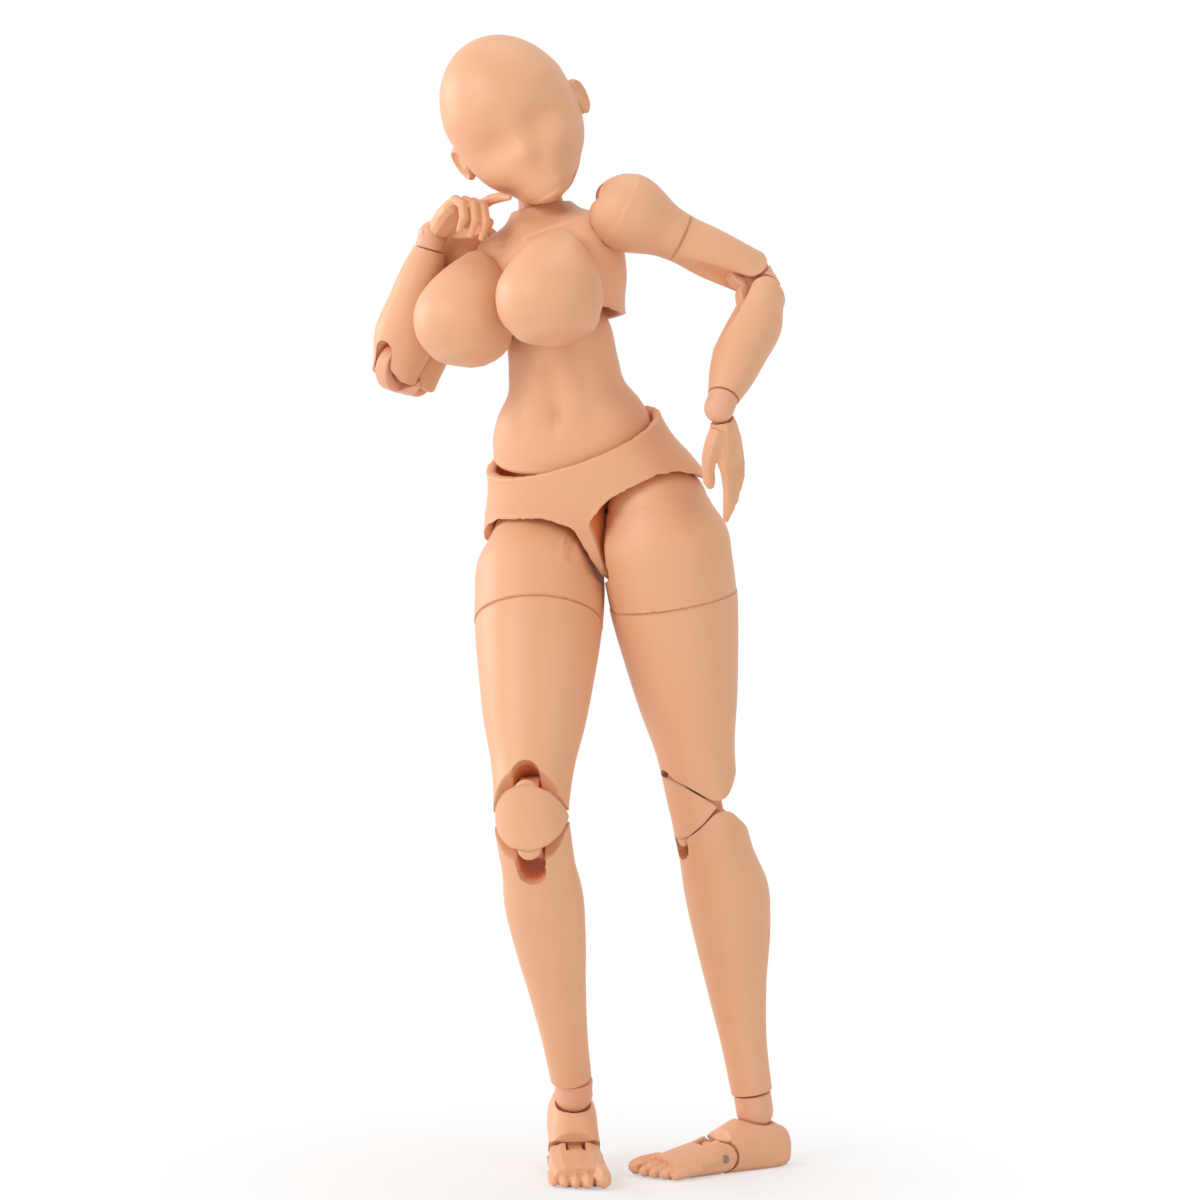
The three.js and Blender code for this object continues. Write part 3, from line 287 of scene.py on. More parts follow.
def limb_places(side, across):
    """Places of one side's arm and leg pieces; across holds the places of the body."""
    shoulder, elbow = joint_at(f"arm_raise_{side}"), joint_at(f"elbow_upper_{side}")
    fold, wrist = joint_at(f"elbow_lower_{side}"), joint_at(f"wrist_turn_{side}")
    hip, knee = joint_at(f"leg_raise_{side}"), joint_at(f"knee_upper_{side}")
    bend, ankle = joint_at(f"knee_lower_{side}"), joint_at(f"ankle_turn_{side}")
    arm = joint_along(f"elbow_upper_{side}", across["chest"].axes[0])
    leg = joint_along(f"knee_upper_{side}", across["pelvis"].axes[0])
    sole = joint_along(f"foot_tilt_{side}", leg)
    shank = unit(bend - ankle)
    raise_axis = joint_along(f"leg_raise_{side}", across["pelvis"].axes[1])
    toe = joint_at(f"toe_bend_{side}") - ankle
    drop = ANKLE_HEIGHT - TOE_HINGE_Z
    return {
        "arm": Place(shoulder, arm, shoulder - elbow),
        "forearm": Place(fold, arm, fold - wrist),
        "wrist": Place(wrist, arm, fold - wrist),
        "hip": Place(hip, np.cross(raise_axis, hip - knee), hip - knee),
        "thigh": Place(hip, leg, hip - knee),
        "knee": Place(knee, leg, knee - bend),
        "shin": Place(bend, leg, bend - ankle),
        "ankle": Place(ankle, sole, shank - (shank @ sole) * sole),
        "foot": Place(ankle, sole, -drop * toe - TOE_HINGE * np.cross(sole, toe)),
    }


# Forms: smooth outer skins that the pieces are cut from. A skin gives, for each point, how far
# outside it the point lies and the direction that leads out.

TINY = 1e-9
FAR = 1e3  # stands for "not near this skin"


def smooth_step(value, start, end):
    """0 up to start, 1 from end on, and 3 t^2 - 2 t^3 between."""
    t = np.clip((value - start) / (end - start), 0, 1)
    return t * t * (3 - 2 * t)


def fading(value, start, end):
    """1 up to start and 0 from end on."""
    return smooth_step(-value, -end, -start)


def bell(value, centre, spread):
    """Bell of height 1: exp(-((value - centre) / spread)^2)."""
    return np.exp(-(((value - centre) / spread) ** 2))


def hump(p, centre, spread):
    """Bell of height 1 round a centre, spread given per axis."""
    return np.exp(-((((p - np.array(centre)) / np.array(spread)) ** 2).sum(axis=1)))


def round_turn(count):
    """Angles once round, evenly spaced."""
    return np.linspace(0, 2 * math.pi, count + 1)[:-1]


def curve(z, heights, values):
    """Cubic Hermite curve through the stations, slopes from neighbouring stations."""
    slopes = np.gradient(values, heights)
    i = np.clip(np.searchsorted(heights, z) - 1, 0, len(heights) - 2)
    step = heights[i + 1] - heights[i]
    t = np.clip((z - heights[i]) / step, 0, 1)
    rise = values[i] * (2 * t**3 - 3 * t**2 + 1) + values[i + 1] * (3 * t**2 - 2 * t**3)
    return rise + step * (slopes[i] * (t**3 - 2 * t**2 + t) + slopes[i + 1] * (t**3 - t**2))


def sections(stations, z):
    """Half width, front depth, back depth and centre y, at heights z, of a form given by stations
    [z, half width, front, back, centre y]; a station without a centre has it at 0."""
    rows = np.array([list(s) + [0.0] * (5 - len(s)) for s in stations])
    rows = rows[np.argsort(rows[:, 0])]
    return [curve(z, rows[:, 0], rows[:, k]) for k in (1, 2, 3, 4)]


def loft(stations, power=2.0, relief=None):
    """Skin through stations: at height z the section is the superellipse |x/w|^p + |y/d|^p = 1,
    with d the front or back depth; relief adds outward millimetres."""
    heights = [s[0] for s in stations]
    lowest, highest = min(heights) - 0.05, max(heights) + 0.05

    def skin(p):
        wide, front, back, centre = sections(stations, p[:, 2])
        y = p[:, 1] - centre
        deep = np.where(y < 0, front, back)
        share = (np.abs(p[:, 0] / wide) ** power + np.abs(y / deep) ** power) ** (1 / power)
        length = np.hypot(p[:, 0], y) + TINY
        out = length - length / np.maximum(share, 1e-6)
        if relief is not None:
            out = out - relief(p)
        out = np.where((p[:, 2] < lowest) | (p[:, 2] > highest), FAR, out)
        step = np.stack([p[:, 0] / length, y / length, np.zeros(len(p))], axis=1)
        return out, step

    return skin


def globe(radius):
    """Skin of a ball round the origin."""

    def skin(p):
        length = np.linalg.norm(p, axis=1) + TINY
        return length - radius, p / length[:, None]

    return skin


def domed(skin, centre, half, start, end):
    """The skin passing, between heights start and end, into the ellipsoid
    |(p - centre) / half| = 1."""

    def dome(p):
        q = (p - np.array(centre)) / np.array(half)
        n = np.linalg.norm(q, axis=1) + TINY
        slope = q / np.array(half) / n[:, None]
        steep = np.linalg.norm(slope, axis=1) + TINY
        out, step = skin(p)
        share = smooth_step(p[:, 2], start, end)
        near = np.where(share < 1, out, 0)
        out = near * (1 - share) + (n - 1) / steep * share
        return out, step * (1 - share)[:, None] + slope / steep[:, None] * share[:, None]

    return dome


def leaned_with_rim(skin, height):
    """The skin leaned with the pelvis rim: z = z0 + slope y s(z0), with s falling from 1 at z0 = 0
    and below to 0 at the given height."""

    def leaned(p):
        drop = RIM_SLOPE * p[:, 1]
        low = p[:, 2] - drop
        z0 = np.where(low < 0, low, low / (1 - drop / height))
        z0 = np.where(z0 > height, p[:, 2], z0)
        return skin(np.column_stack([p[:, 0], p[:, 1], z0]))

    return leaned


def foot_skin():
    """Skin of the foot: the sections of FOOT stand along its length, and the sole stays flat."""
    skin = loft(FOOT, power=2.4)

    def laid(p):
        out, step = skin(np.column_stack([p[:, 0], p[:, 2], -p[:, 1]]))
        above = smooth_step(p[:, 2], -ANKLE_HEIGHT + 0.3, -ANKLE_HEIGHT + 1.1)
        return np.where(out < FAR, out * above, out), step[:, [0, 2, 1]]

    return laid


def kneecap_skin():
    """Skin of the kneecap: the thigh's skin blended into the shin's across the knee's middle."""
    thigh, shin = loft(THIGH), loft(SHIN)

    def skin(p):
        high = smooth_step(p[:, 2], -KNEE_HALF - 1.6, -KNEE_HALF + 1.6)[:, None]
        a, da = thigh(p + np.array([0, 0, -THIGH_LENGTH]))
        b, db = shin(p + np.array([0, 0, 2 * KNEE_HALF]))
        return a * high[:, 0] + b * (1 - high[:, 0]), da * high + db * (1 - high)

    return skin


# Pieces: a solid's surface, refined evenly and drawn out onto its smooth form

FILLET = 0.3  # roundness where two skins meet
REACH, FADE = 0.45, 0.95  # surface this near a skin is drawn onto it, and beyond the second is left
SHADE_FROM, SHADE_OVER = 0.8, 0.6  # depth at which the painted shade starts, and its run
PULL, PUSH = 0.5, -0.52
SEAM_CATCH = 0.2
MERGE = 1e-7  # metres
PIN_EDGE = 0.22  # rounded edge of a pin, as a share of its radius
ANY_WAY = np.array([0.31, 0.52, 0.79])  # a direction that no pin has


def points_of(mesh):
    """The mesh's points, one row each."""
    points = np.empty(len(mesh.vertices) * 3, np.float32)
    mesh.vertices.foreach_get("co", points)
    return points.reshape(-1, 3).astype(float)


def refined(node_name, voxel):
    """Even fine mesh over the node's own surface."""
    mesh = bpy.data.meshes.new(f"{node_name}_fine")
    work = bmesh.new()
    work.from_mesh(frame["nodes"][node_name].data)
    bmesh.ops.remove_doubles(work, verts=work.verts, dist=MERGE)
    work.to_mesh(mesh)
    work.free()
    carrier = bpy.data.objects.new(f"{node_name}_carrier", mesh)
    bpy.context.scene.collection.objects.link(carrier)
    grid = carrier.modifiers.new("grid", "REMESH")
    grid.mode = "VOXEL"
    grid.voxel_size = voxel * MM
    seen = carrier.evaluated_get(bpy.context.evaluated_depsgraph_get())
    fine = bpy.data.meshes.new_from_object(seen)
    bpy.data.objects.remove(carrier)
    bpy.data.meshes.remove(mesh)
    fine.name = f"{node_name}_skin"
    return fine


def relax(points, edges, rounds):
    """Evens out a surface without shrinking it: each round pulls every point halfway to the mean of
    its neighbours and then pushes it back by slightly more."""
    count = len(points)
    ends = np.concatenate([edges, edges[:, ::-1]])
    share = 1 / np.maximum(np.bincount(ends[:, 0], minlength=count), 1)
    for pull in (PULL, PUSH) * rounds:
        sums = [np.bincount(ends[:, 0], points[ends[:, 1], k], count) for k in range(3)]
        mean = np.stack(sums, 1) * share[:, None]
        points = points + pull * (mean - points)
    return points


def drawn_out(points, skins, reach):
    """Moves points that lie near the union of the skins onto it; returns them and the painted shade
    of each one, stronger the deeper it lay. The union is rounded where two skins meet: out = -k
    log(sum exp(-out_i / k))."""
    outs, steps = zip(*(skin(points) for skin in skins))
    outs, steps = np.array(outs), np.array(steps)
    least = outs.min(axis=0)
    shares = np.exp(np.maximum((least - outs) / FILLET, -60))
    out = least - FILLET * np.log(shares.sum(axis=0))
    step = (steps * (shares / shares.sum(axis=0))[:, :, None]).sum(axis=0)
    scale = 1.0 if reach is None else reach(points)
    fade = fading(np.abs(out) / scale, REACH, FADE)
    # Painted shade: points that lay deeper under the skin, in cuts and gaps, take the darker
    # colour, more the deeper they lay.
    painted_shade = np.clip((-out - SHADE_FROM) / SHADE_OVER, 0, 1)
    return points - (out * fade)[:, None] * step, painted_shade


def closed_seam(local, face):
    """Squares the flat end at height face[0] and brings it to height face[1], a hairline from its
    neighbour."""
    local[np.abs(local[:, 2] - face[0]) < SEAM_CATCH, 2] = face[1]
    return local


def tab_pressed(points, centre, radius):
    """Presses the tab that stands in a round socket flat onto the socket's wall, because the barrel
    in the socket hides it: p + t d with |p + t d - c| = radius, d the tab's direction."""
    p = points / MM - centre
    inside = np.linalg.norm(p, axis=1) < radius
    down = unit(p[inside].mean(axis=0))
    along = p[inside] @ down
    travel = np.sqrt(along**2 - (p[inside] ** 2).sum(axis=1) + radius**2) - along
    p[inside] += travel[:, None] * down
    return (p + centre) * MM


def put_in_scene(name, mesh, slot, body, painted_shade, *nodes):
    """Finished piece: smooth shading, its finish, the painted shade of each point (darker where it
    lies recessed), and its body.
    """
    # the point attribute that carries the painted shade of cuts and gaps
    depth = mesh.attributes.new("painted_shade", "FLOAT", "POINT")
    depth.data.foreach_set("value", painted_shade.astype(np.float32))
    mesh.polygons.foreach_set("use_smooth", np.ones(len(mesh.polygons), bool))
    mesh.materials.clear()
    mesh.materials.append(FINISHES[slot])
    mesh.update()
    made = bpy.data.objects.new(name, mesh)
    bpy.context.scene.collection.objects.link(made)
    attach(made, body)
    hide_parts(*nodes)


def piece(node_name, slot, voxel, place=None, skins=(), rounds=4, after=2, reach=None, face=None,
          socket=None, shape=None):
    """Smooth piece standing for one node: its surface refined, evened, drawn onto its form."""
    mesh = refined(node_name, voxel)
    edges = np.empty(len(mesh.edges) * 2, np.int32)
    mesh.edges.foreach_get("vertices", edges)
    edges = edges.reshape(-1, 2)
    points = relax(points_of(mesh), edges, rounds)
    # no painted shade unless the piece is drawn onto its skins
    painted_shade = np.zeros(len(points))
    if skins:
        local, painted_shade = drawn_out(place.local(points), skins, reach)
        if shape:
            local, painted_shade = shape(local, painted_shade)
        points = relax(place.world(local), edges, after)
    if face:
        points = place.world(closed_seam(place.local(points), face))
    if socket:
        points = tab_pressed(points, *socket)
    mesh.vertices.foreach_set("co", points.astype(np.float32).ravel())
    put_in_scene(f"{node_name}_moulding", mesh, slot, BODY_OF[node_name], painted_shade, node_name)


def grid_piece(name, grid, slot, body, *nodes, painted_shade=0.0):
    """Closed surface from rows of points that go round; first and last row are poles or meet."""
    rows, cols = grid.shape[:2]
    i, j = np.meshgrid(np.arange(rows - 1), np.arange(cols), indexing="ij")
    here, there = i * cols + j, i * cols + (j + 1) % cols
    faces = np.stack([here, there, there + cols, here + cols], -1).reshape(-1, 4)
    mesh = bpy.data.meshes.new(name)
    mesh.from_pydata(grid.reshape(-1, 3), [], faces.tolist())
    work = bmesh.new()
    work.from_mesh(mesh)
    bmesh.ops.remove_doubles(work, verts=work.verts, dist=MERGE)
    bmesh.ops.recalc_face_normals(work, faces=work.faces)
    work.to_mesh(mesh)
    work.free()
    # the same painted shade over the whole piece
    put_in_scene(name, mesh, slot, body, np.full(len(mesh.vertices), painted_shade), *nodes)


def turned_pin(node_name, slot, longer):
    """Round pin along its node's longest direction: a profile with rounded edges carried round the
    axis, x = l(t), radius = r(t). Each end stands out by longer millimetres."""
    points = points_of(frame["nodes"][node_name].data)
    low = points - points.mean(axis=0)
    axis = np.linalg.eigh(low.T @ low)[1][:, 2]
    along = low @ axis
    middle = points.mean(axis=0) + axis * (along.max() + along.min()) / 2
    half = (along.max() - along.min()) / 2 + longer * MM
    radius = np.linalg.norm(low - np.outer(along, axis), axis=1).max()
    edge = PIN_EDGE * radius
    t = np.linspace(0, math.pi / 2, 6)
    rise, inward = edge * (1 - np.cos(t)), edge * (1 - np.sin(t))
    length = np.concatenate([[-half], rise - half, half - rise[::-1], [half]])
    wide = np.concatenate([[0], radius - inward, radius - inward[::-1], [0]])
    turn = round_turn(40)
    side = unit(np.cross(axis, ANY_WAY))
    ring = np.outer(np.cos(turn), side) + np.outer(np.sin(turn), np.cross(axis, side))
    grid = middle + length[:, None, None] * axis + wide[:, None, None] * ring[None]
    grid_piece(f"{node_name}_turned", grid, slot, BODY_OF[node_name], node_name)


def turned_round(name, place, profile, slot, body):
    """Piece turned about its place's Z axis: profile rows [radius, height], x = r cos t,
    y = r sin t."""
    r, z = profile.T
    t = round_turn(72)
    level = np.repeat(z[:, None], len(t), 1)
    grid = np.stack([np.outer(r, np.cos(t)), np.outer(r, np.sin(t)), level], -1)
    grid_piece(name, place.world(grid), slot, body)


def barrel(name, place, radius, top, body):
    """Joint barrel: a half ball below its middle and a straight wall with a soft edge above."""
    soft = 0.2
    a = np.radians(np.linspace(-90, 0, 19))
    b = np.radians(np.linspace(0, 90, 7))
    low = np.column_stack([radius * np.cos(a), radius * np.sin(a)])
    wall = np.column_stack([np.full(5, radius), np.linspace(soft, top - 1.5 * soft, 5)])
    edge = np.column_stack([radius - soft + soft * np.cos(b), top - soft + soft * np.sin(b)])
    profile = np.concatenate([low, wall, edge, [[0, top]]])
    turned_round(name, place, profile, "joint_plastic", body)


def lug_ring(name, centre, axis, radius, half, body):
    """Round lug about a hinge pin: a ring with soft corners, bored for the pin."""
    soft = 0.25
    a = np.radians(np.linspace(0, 90, 6))
    upper = np.column_stack([radius - soft + soft * np.sin(a), half - soft + soft * np.cos(a)])
    outer = np.concatenate([upper, (upper * [1, -1])[::-1]])
    bore = [[PIN_HOLE_R, -half], [PIN_HOLE_R, half]]
    profile = np.concatenate([outer, bore, outer[:1]])
    turned_round(name, Place(centre, np.cross(axis, ANY_WAY), axis), profile, "joint_plastic", body)


# Stations of the forms: [z, half width, front, back, centre y]

KNEE_Z = -(THIGH_LENGTH + KNEE_HALF)
ELBOW_Z = -(UPPER_ARM + ELBOW_HALF)
THIGH = [
    [0.5, HIP_BALL_R * 0.97, HIP_BALL_R, HIP_BALL_R], [-3, THIGH_W * 0.985, 7.6, 7.8],
    [-7.5, THIGH_W * 1.01, 7.9, 8.0], [-THIGH_SEAM, THIGH_W * 0.995, 7.8, 7.8],
    [-18, THIGH_W * 0.9, 7.0, 6.8], [-24, THIGH_W * 0.79, 6.1, 5.7],
    [KNEE_Z + 6.5, KNEE_W * 1.1, 5.0, 4.5], [KNEE_Z + 2, KNEE_W, 4.7, 4.1],
    [KNEE_Z - 3, KNEE_W, 4.6, 4.2],
]
SHIN = [
    [KNEE_HALF + 3, KNEE_W, 4.6, 4.2], [0, KNEE_W * 0.98, 4.4, 4.4], [-4, KNEE_W * 0.97, 4.2, 4.9],
    [-8.5, CALF_W, 4.2, 6.1], [-14, CALF_W * 0.92, 3.9, 5.6], [-21, CALF_W * 0.74, 3.35, 3.9],
    [-SHIN_LENGTH + 8, CALF_W * 0.59, 2.75, 2.75], [-SHIN_LENGTH + 2.5, ANKLE_R + 0.25, 2.5, 2.5],
]
FOOT = [
    [TOE_TIP - 2.4, FOOT_W * 0.95, 1.6, 1.0, -5.6], [10.6, FOOT_W * 1.1, 2, 1.5, -5.3],
    [7.8, FOOT_W * 1.09, 2.3, 1.9, -5.0], [5, FOOT_W, 2.6, 2.8, -4.8],
    [2.4, FOOT_W * 0.95, 3, 3.8, -4.6], [-0.4, FOOT_W * 0.94, 3.2, 3.8, -4.5],
    [-2.8, FOOT_W * 0.8, 3.1, 2.9, -4.6], [-HEEL_BACK + 0.5, FOOT_W * 0.5, 2.3, 1.8, -4.7],
    [-HEEL_BACK, FOOT_W * 0.12, 0.7, 0.5, -4.7],
]
ARM = [
    [1, 4.2, 4.2, 4.2], [-2.5, 4.0, 3.9, 3.9], [-5, 3.2, 3.2, 3.2],
    [-ARM_SEAM, ARM_R, ARM_R, ARM_R], [-10.5, ARM_R * 1.04, ARM_R * 1.02, ARM_R],
    [ELBOW_Z + 2, ARM_R * 0.97, ARM_R * 0.95, ARM_R * 0.95],
    [ELBOW_Z - 3, ARM_R * 0.97, ARM_R * 0.95, ARM_R * 0.95],
]
LOWER_ARM = [
    [ELBOW_HALF + 3, ARM_R * 0.97, ARM_R * 0.95, ARM_R * 0.95], [0, ARM_R, ARM_R, ARM_R],
    [-3.6, FOREARM_W, FOREARM_W, FOREARM_W * 0.97],
    [-8, FOREARM_W * 0.84, FOREARM_W * 0.84, FOREARM_W * 0.84],
    [-12, FOREARM_W * 0.67, FOREARM_W * 0.68, FOREARM_W * 0.68],
    [-FOREARM + 1.75, WRIST_R + 0.15, 1.9, 1.9],
]
PELVIS = [
    [RIM_UP + 2.7, RIM_W * 0.97, 7.1, 7.0], [RIM_UP, RIM_W, 7.3, 7.2],
    [RIM_UP - 2.7, RIM_W * 1.06, 7.5, 7.8], [5.2, RIM_W * 1.18, 7.3, 8.5],
    [2.2, RIM_W * 1.27, 6.8, 8.6], [-0.5, RIM_W * 1.2, 5.9, 8.2], [-3.5, RIM_W * 0.83, 4.8, 6.8],
    [-5.4, RIM_W * 0.45, 3.6, 4.6], [-6.3, RIM_W * 0.22, 2.2, 2.6],
]
ABDOMEN = [
    [CHEST_UP - 3.2, WAIST_W * 0.74, 4.4, 4.3], [CHEST_UP - CHEST_RIM, WAIST_W * 0.91, 5.3, 5.2],
    [9.5, WAIST_W, 5.7, 5.6], [6.5, WAIST_W * 1.08, 5.9, 5.6], [4, RIM_W * 0.78, 6.1, 5.8],
    [1.5, RIM_W * 0.865, 6.25, 6.0], [0, RIM_W * 0.88, 6.25, 6.05],
    [-1.1, RIM_W * 0.865, 6.1, 5.9], [-1.6, RIM_W * 0.8, 5.4, 5.4],
]
ABDOMEN_LEAN_UP = 7.0
CHEST = [
    [NECK_UP + 1.7, NECK_R + 1.0, NECK_R + 0.8, NECK_R + 1.0, 0.5],
    [NECK_UP + 0.5, 5.2, 3.9, 4.6, 0.4], [NECK_UP - 0.6, 8.2, 4.7, 5.4],
    [4.6, CHEST_W * 1.02, 5.6, 6.3], [2, CHEST_W, 6.6, 6.8], [-1, CHEST_W * 0.95, 7.4, 7.3],
    [-3.4, CHEST_W * 0.91, 7.6, 7.4], [-CHEST_RIM, CHEST_W * 0.89, 7.5, 7.4],
]
BUST = [[BUST_R * v for v in row] for row in (
    [1.22, 0.12, 0.1, 0.2, 0.62], [1.02, 0.44, 0.4, 0.5, 0.42], [0.62, 0.8, 0.78, 0.9, 0.13],
    [0, 1, 1, 1.1], [-0.52, 0.86, 0.86, 1], [-0.86, 0.5, 0.5, 0.8], [-1, 0.1, 0.1, 0.3])]
NECK = [[z, NECK_R * share, NECK_R * share, NECK_R * share] for z, share in (
    [NECK_LENGTH - 2.2, 0.93], [NECK_LENGTH * 0.45, 0.96], [0.6, 1.0])]
NECK_BALL_R = NECK_R + 0.2
HEAD = [
    [HEAD_TOP, 0.6, 0.6, 0.6, 0.4], [HEAD_TOP - 0.9, 3.6, 3.7, 4.0, 0.4],
    [HEAD_TOP - 3.2, HEAD_W * 0.77, 6.3, 6.8, 0.2], [HEAD_TOP - 6.4, HEAD_W * 0.97, 8.0, 8.2],
    [7, HEAD_W, 8.4, 8.3], [3.8, HEAD_W * 0.97, 8.3, 7.4], [1, HEAD_W * 0.87, 8.1, 5.6, -0.2],
    [-1.6, HEAD_W * 0.68, 7.0, 4.6, -1.2], [-3.6, HEAD_W * 0.44, 4.8, 3.8, -3.2],
    [-CHIN_DROP + 0.4, HEAD_W * 0.24, 2.8, 2.6, -4.8], [-CHIN_DROP, HEAD_W * 0.08, 0.8, 0.8, -5.4],
]
CROWN_Z = 7  # the skull is widest here, and above it passes into a dome
CROWN_DEEP = 8.35
CROWN_FROM, CROWN_TO = 8.0, 11.0


# Torso and head. In each relief a term is its height in millimetres, times a bell across it, times
# its run; the front of the body is at negative y.


def belly_relief(p):
    """Midline groove down to the navel, with the soft swells beside it, on the abdomen's front."""
    front = smooth_step(-p[:, 1], 1.0, 3.5)
    x, z = np.abs(p[:, 0]), p[:, 2]
    below_ribs = fading(z, 9.0, 13.0)
    run = smooth_step(z, 3.2, 5.0) * below_ribs
    groove = -0.62 * bell(x, 0, 1.0) * run
    navel = -0.45 * hump(p[:, [0, 2]], (0, 4.4), (0.75, 1.3))
    swell = 0.26 * bell(x, 2.5, 1.3) * run
    side = -0.16 * bell(x, 4.6, 1.1) * smooth_step(z, 1.0, 4.0) * below_ribs
    return front * (groove + navel + swell + side)


def belly_reach(p):
    """The belly's front is drawn into its groove from farther away than other surfaces."""
    return 1 + 1.4 * smooth_step(-p[:, 1], 1.0, 3.5) * smooth_step(p[:, 2], 1.5, 3.0)


def collar_relief(p):
    """Collarbones rising from the notch under the neck to the shoulders, a hollow above each."""
    front = smooth_step(-p[:, 1], 0.6, 2.2)
    x, z = np.abs(p[:, 0]), p[:, 2]
    line = 5.2 + 0.12 * x
    span = smooth_step(x, 0.6, 1.8) * fading(x, 6.0, 8.6)
    bone = 0.3 * bell(z, line, 0.55) * span
    hollow = -0.3 * bell(z - line, 1.2, 0.8) * span
    notch = -0.35 * hump(p[:, [0, 2]], (0, 5.9), (1.0, 0.9))
    breast_bone = -0.2 * bell(x, 0, 1.0) * fading(z, 2.0, 4.5)
    return front * (bone + hollow + notch + breast_bone)


def face_relief(p):
    """Featureless face: two shallow hollows for the eyes, a low nose bump, soft cheeks, and a jaw
    that narrows to the chin."""
    side = np.column_stack([np.abs(p[:, 0]), p[:, 1], p[:, 2]])
    eyes = -0.95 * hump(side, (3.1, -7.6, 4.3), (2.3, 6.0, 1.9))
    nose = 0.9 * hump(p, (0, -8.4, 2.0), (1.25, 5.0, 1.5))
    cheeks = 0.2 * hump(side, (4.2, -6.4, 0.9), (2.4, 5.0, 2.2))
    jaw = -0.75 * hump(side, (4.8, -4.8, -2.2), (2.4, 4.5, 2.2))
    return eyes + nose + cheeks + jaw


def face_reach(p):
    """The face and the crown are drawn onto their form from farther away than other surfaces."""
    return 1 + 2.2 * np.maximum(smooth_step(-p[:, 1], 2.5, 5.0), smooth_step(p[:, 2], 9.0, 11.0))


def bust_reach(p):
    """The cups' fronts are drawn onto their form from farther away than the seat behind them."""
    return 1 + 1.5 * smooth_step(-p[:, 1], -2.0, 1.0)


def hem_drawn_in(p, painted_shade):
    """Chest hem drawn in towards the waist on the side that leans away from it, and arched up."""
    side = smooth_step(p[:, 0], 3.0, 8.5)
    p[:, 0] -= 0.9 * smooth_step(-p[:, 2], 0.5, CHEST_RIM) * side
    p[:, 2] += 1.0 * bell(p[:, 1], -2.0, 3.2) * side * smooth_step(-p[:, 2], 2.0, CHEST_RIM)
    return p, painted_shade


EAR_AT = (7.35, 0.2, 4.3)
EAR_DEEP, EAR_TALL = 1.45, 2.25
EAR_SWING = math.radians(34.0)
EAR_PIVOT = 1.1  # the plate swings out about a line this far in front of its middle
EAR_FRONT_ROWS, EAR_BACK_ROWS = 26, 12


def ear(side, k, head):
    """Ear plate: polar grid, outline (a cos t, b sin t) narrowed towards the lobe, the outer face
    h(r) = rim at r = 0.82 above a hollow, the inner face flat."""
    t = round_turn(64)
    r = np.concatenate([np.linspace(0, 1, EAR_FRONT_ROWS), np.linspace(1, 0, EAR_BACK_ROWS)[1:]])
    outer = np.arange(len(r)) < EAR_FRONT_ROWS
    rim = 0.34 * bell(r, 0.82, 0.13) - 0.42 * bell(r, 0, 0.5) + 0.3
    lip = np.sqrt(np.clip(1 - r**8, 0, 1))
    height = np.where(outer, rim * lip, -0.5 * lip)
    narrow = 1 + 0.24 * np.sin(t)
    y = r[:, None] * EAR_DEEP * np.cos(t) * narrow
    z = r[:, None] * EAR_TALL * np.sin(t) + 0.12 * y
    x = np.repeat(height[:, None], len(t), axis=1) - 0.1 * (y / 1.4) ** 2
    out = x * math.cos(EAR_SWING) + (y + EAR_PIVOT) * math.sin(EAR_SWING)
    back = (y + EAR_PIVOT) * math.cos(EAR_SWING) - x * math.sin(EAR_SWING)
    grid = np.stack([k * (EAR_AT[0] + out), EAR_AT[1] + back, EAR_AT[2] + z], axis=-1)
    grid_piece(f"ear_{side}", head.world(grid), "skin_plastic", BODY_OF["head_shell"])


def make_torso(places):
    """Pelvis, abdomen, chest, busts, neck and head, and the joints inside them."""

    def shell(name, voxel, place, *skins, **more):
        piece(name, "skin_plastic", voxel, place, skins, **more)

    chest, head = places["chest"], places["head"]
    shell("pelvis_shell", 0.23, places["pelvis"], loft(PELVIS), rounds=40, after=110)
    belly = leaned_with_rim(loft(ABDOMEN, relief=belly_relief), ABDOMEN_LEAN_UP)
    shell("abdomen_shell", 0.16, places["abdomen"], belly, reach=belly_reach)
    shell("chest_shell", 0.17, chest, loft(CHEST, relief=collar_relief), shape=hem_drawn_in)
    for side, k in SIDES.items():
        cup = chest.moved(k * BUST_X, -BUST_FORWARD, -BUST_DOWN)
        shell(f"bust_{side}", 0.14, cup, loft(BUST), rounds=10, after=12, reach=bust_reach)
    shell("neck_post", 0.12, places["neck"], loft(NECK), globe(NECK_BALL_R))
    crown = (HEAD_W, CROWN_DEEP, HEAD_TOP - CROWN_Z)
    skull = domed(loft(HEAD, relief=face_relief), (0, 0, CROWN_Z), crown, CROWN_FROM, CROWN_TO)
    shell("head_shell", 0.17, head, skull, rounds=12, after=10, reach=face_reach)
    for side, k in SIDES.items():
        ear(side, k, head)
    for name in ("spine_upper_joint", "spine_lower_joint", "head_joint"):
        piece(name, "joint_plastic", 0.16)


# Arms and legs

SEAM_HAIR = 0.07  # half the hairline that a swivel seam shows
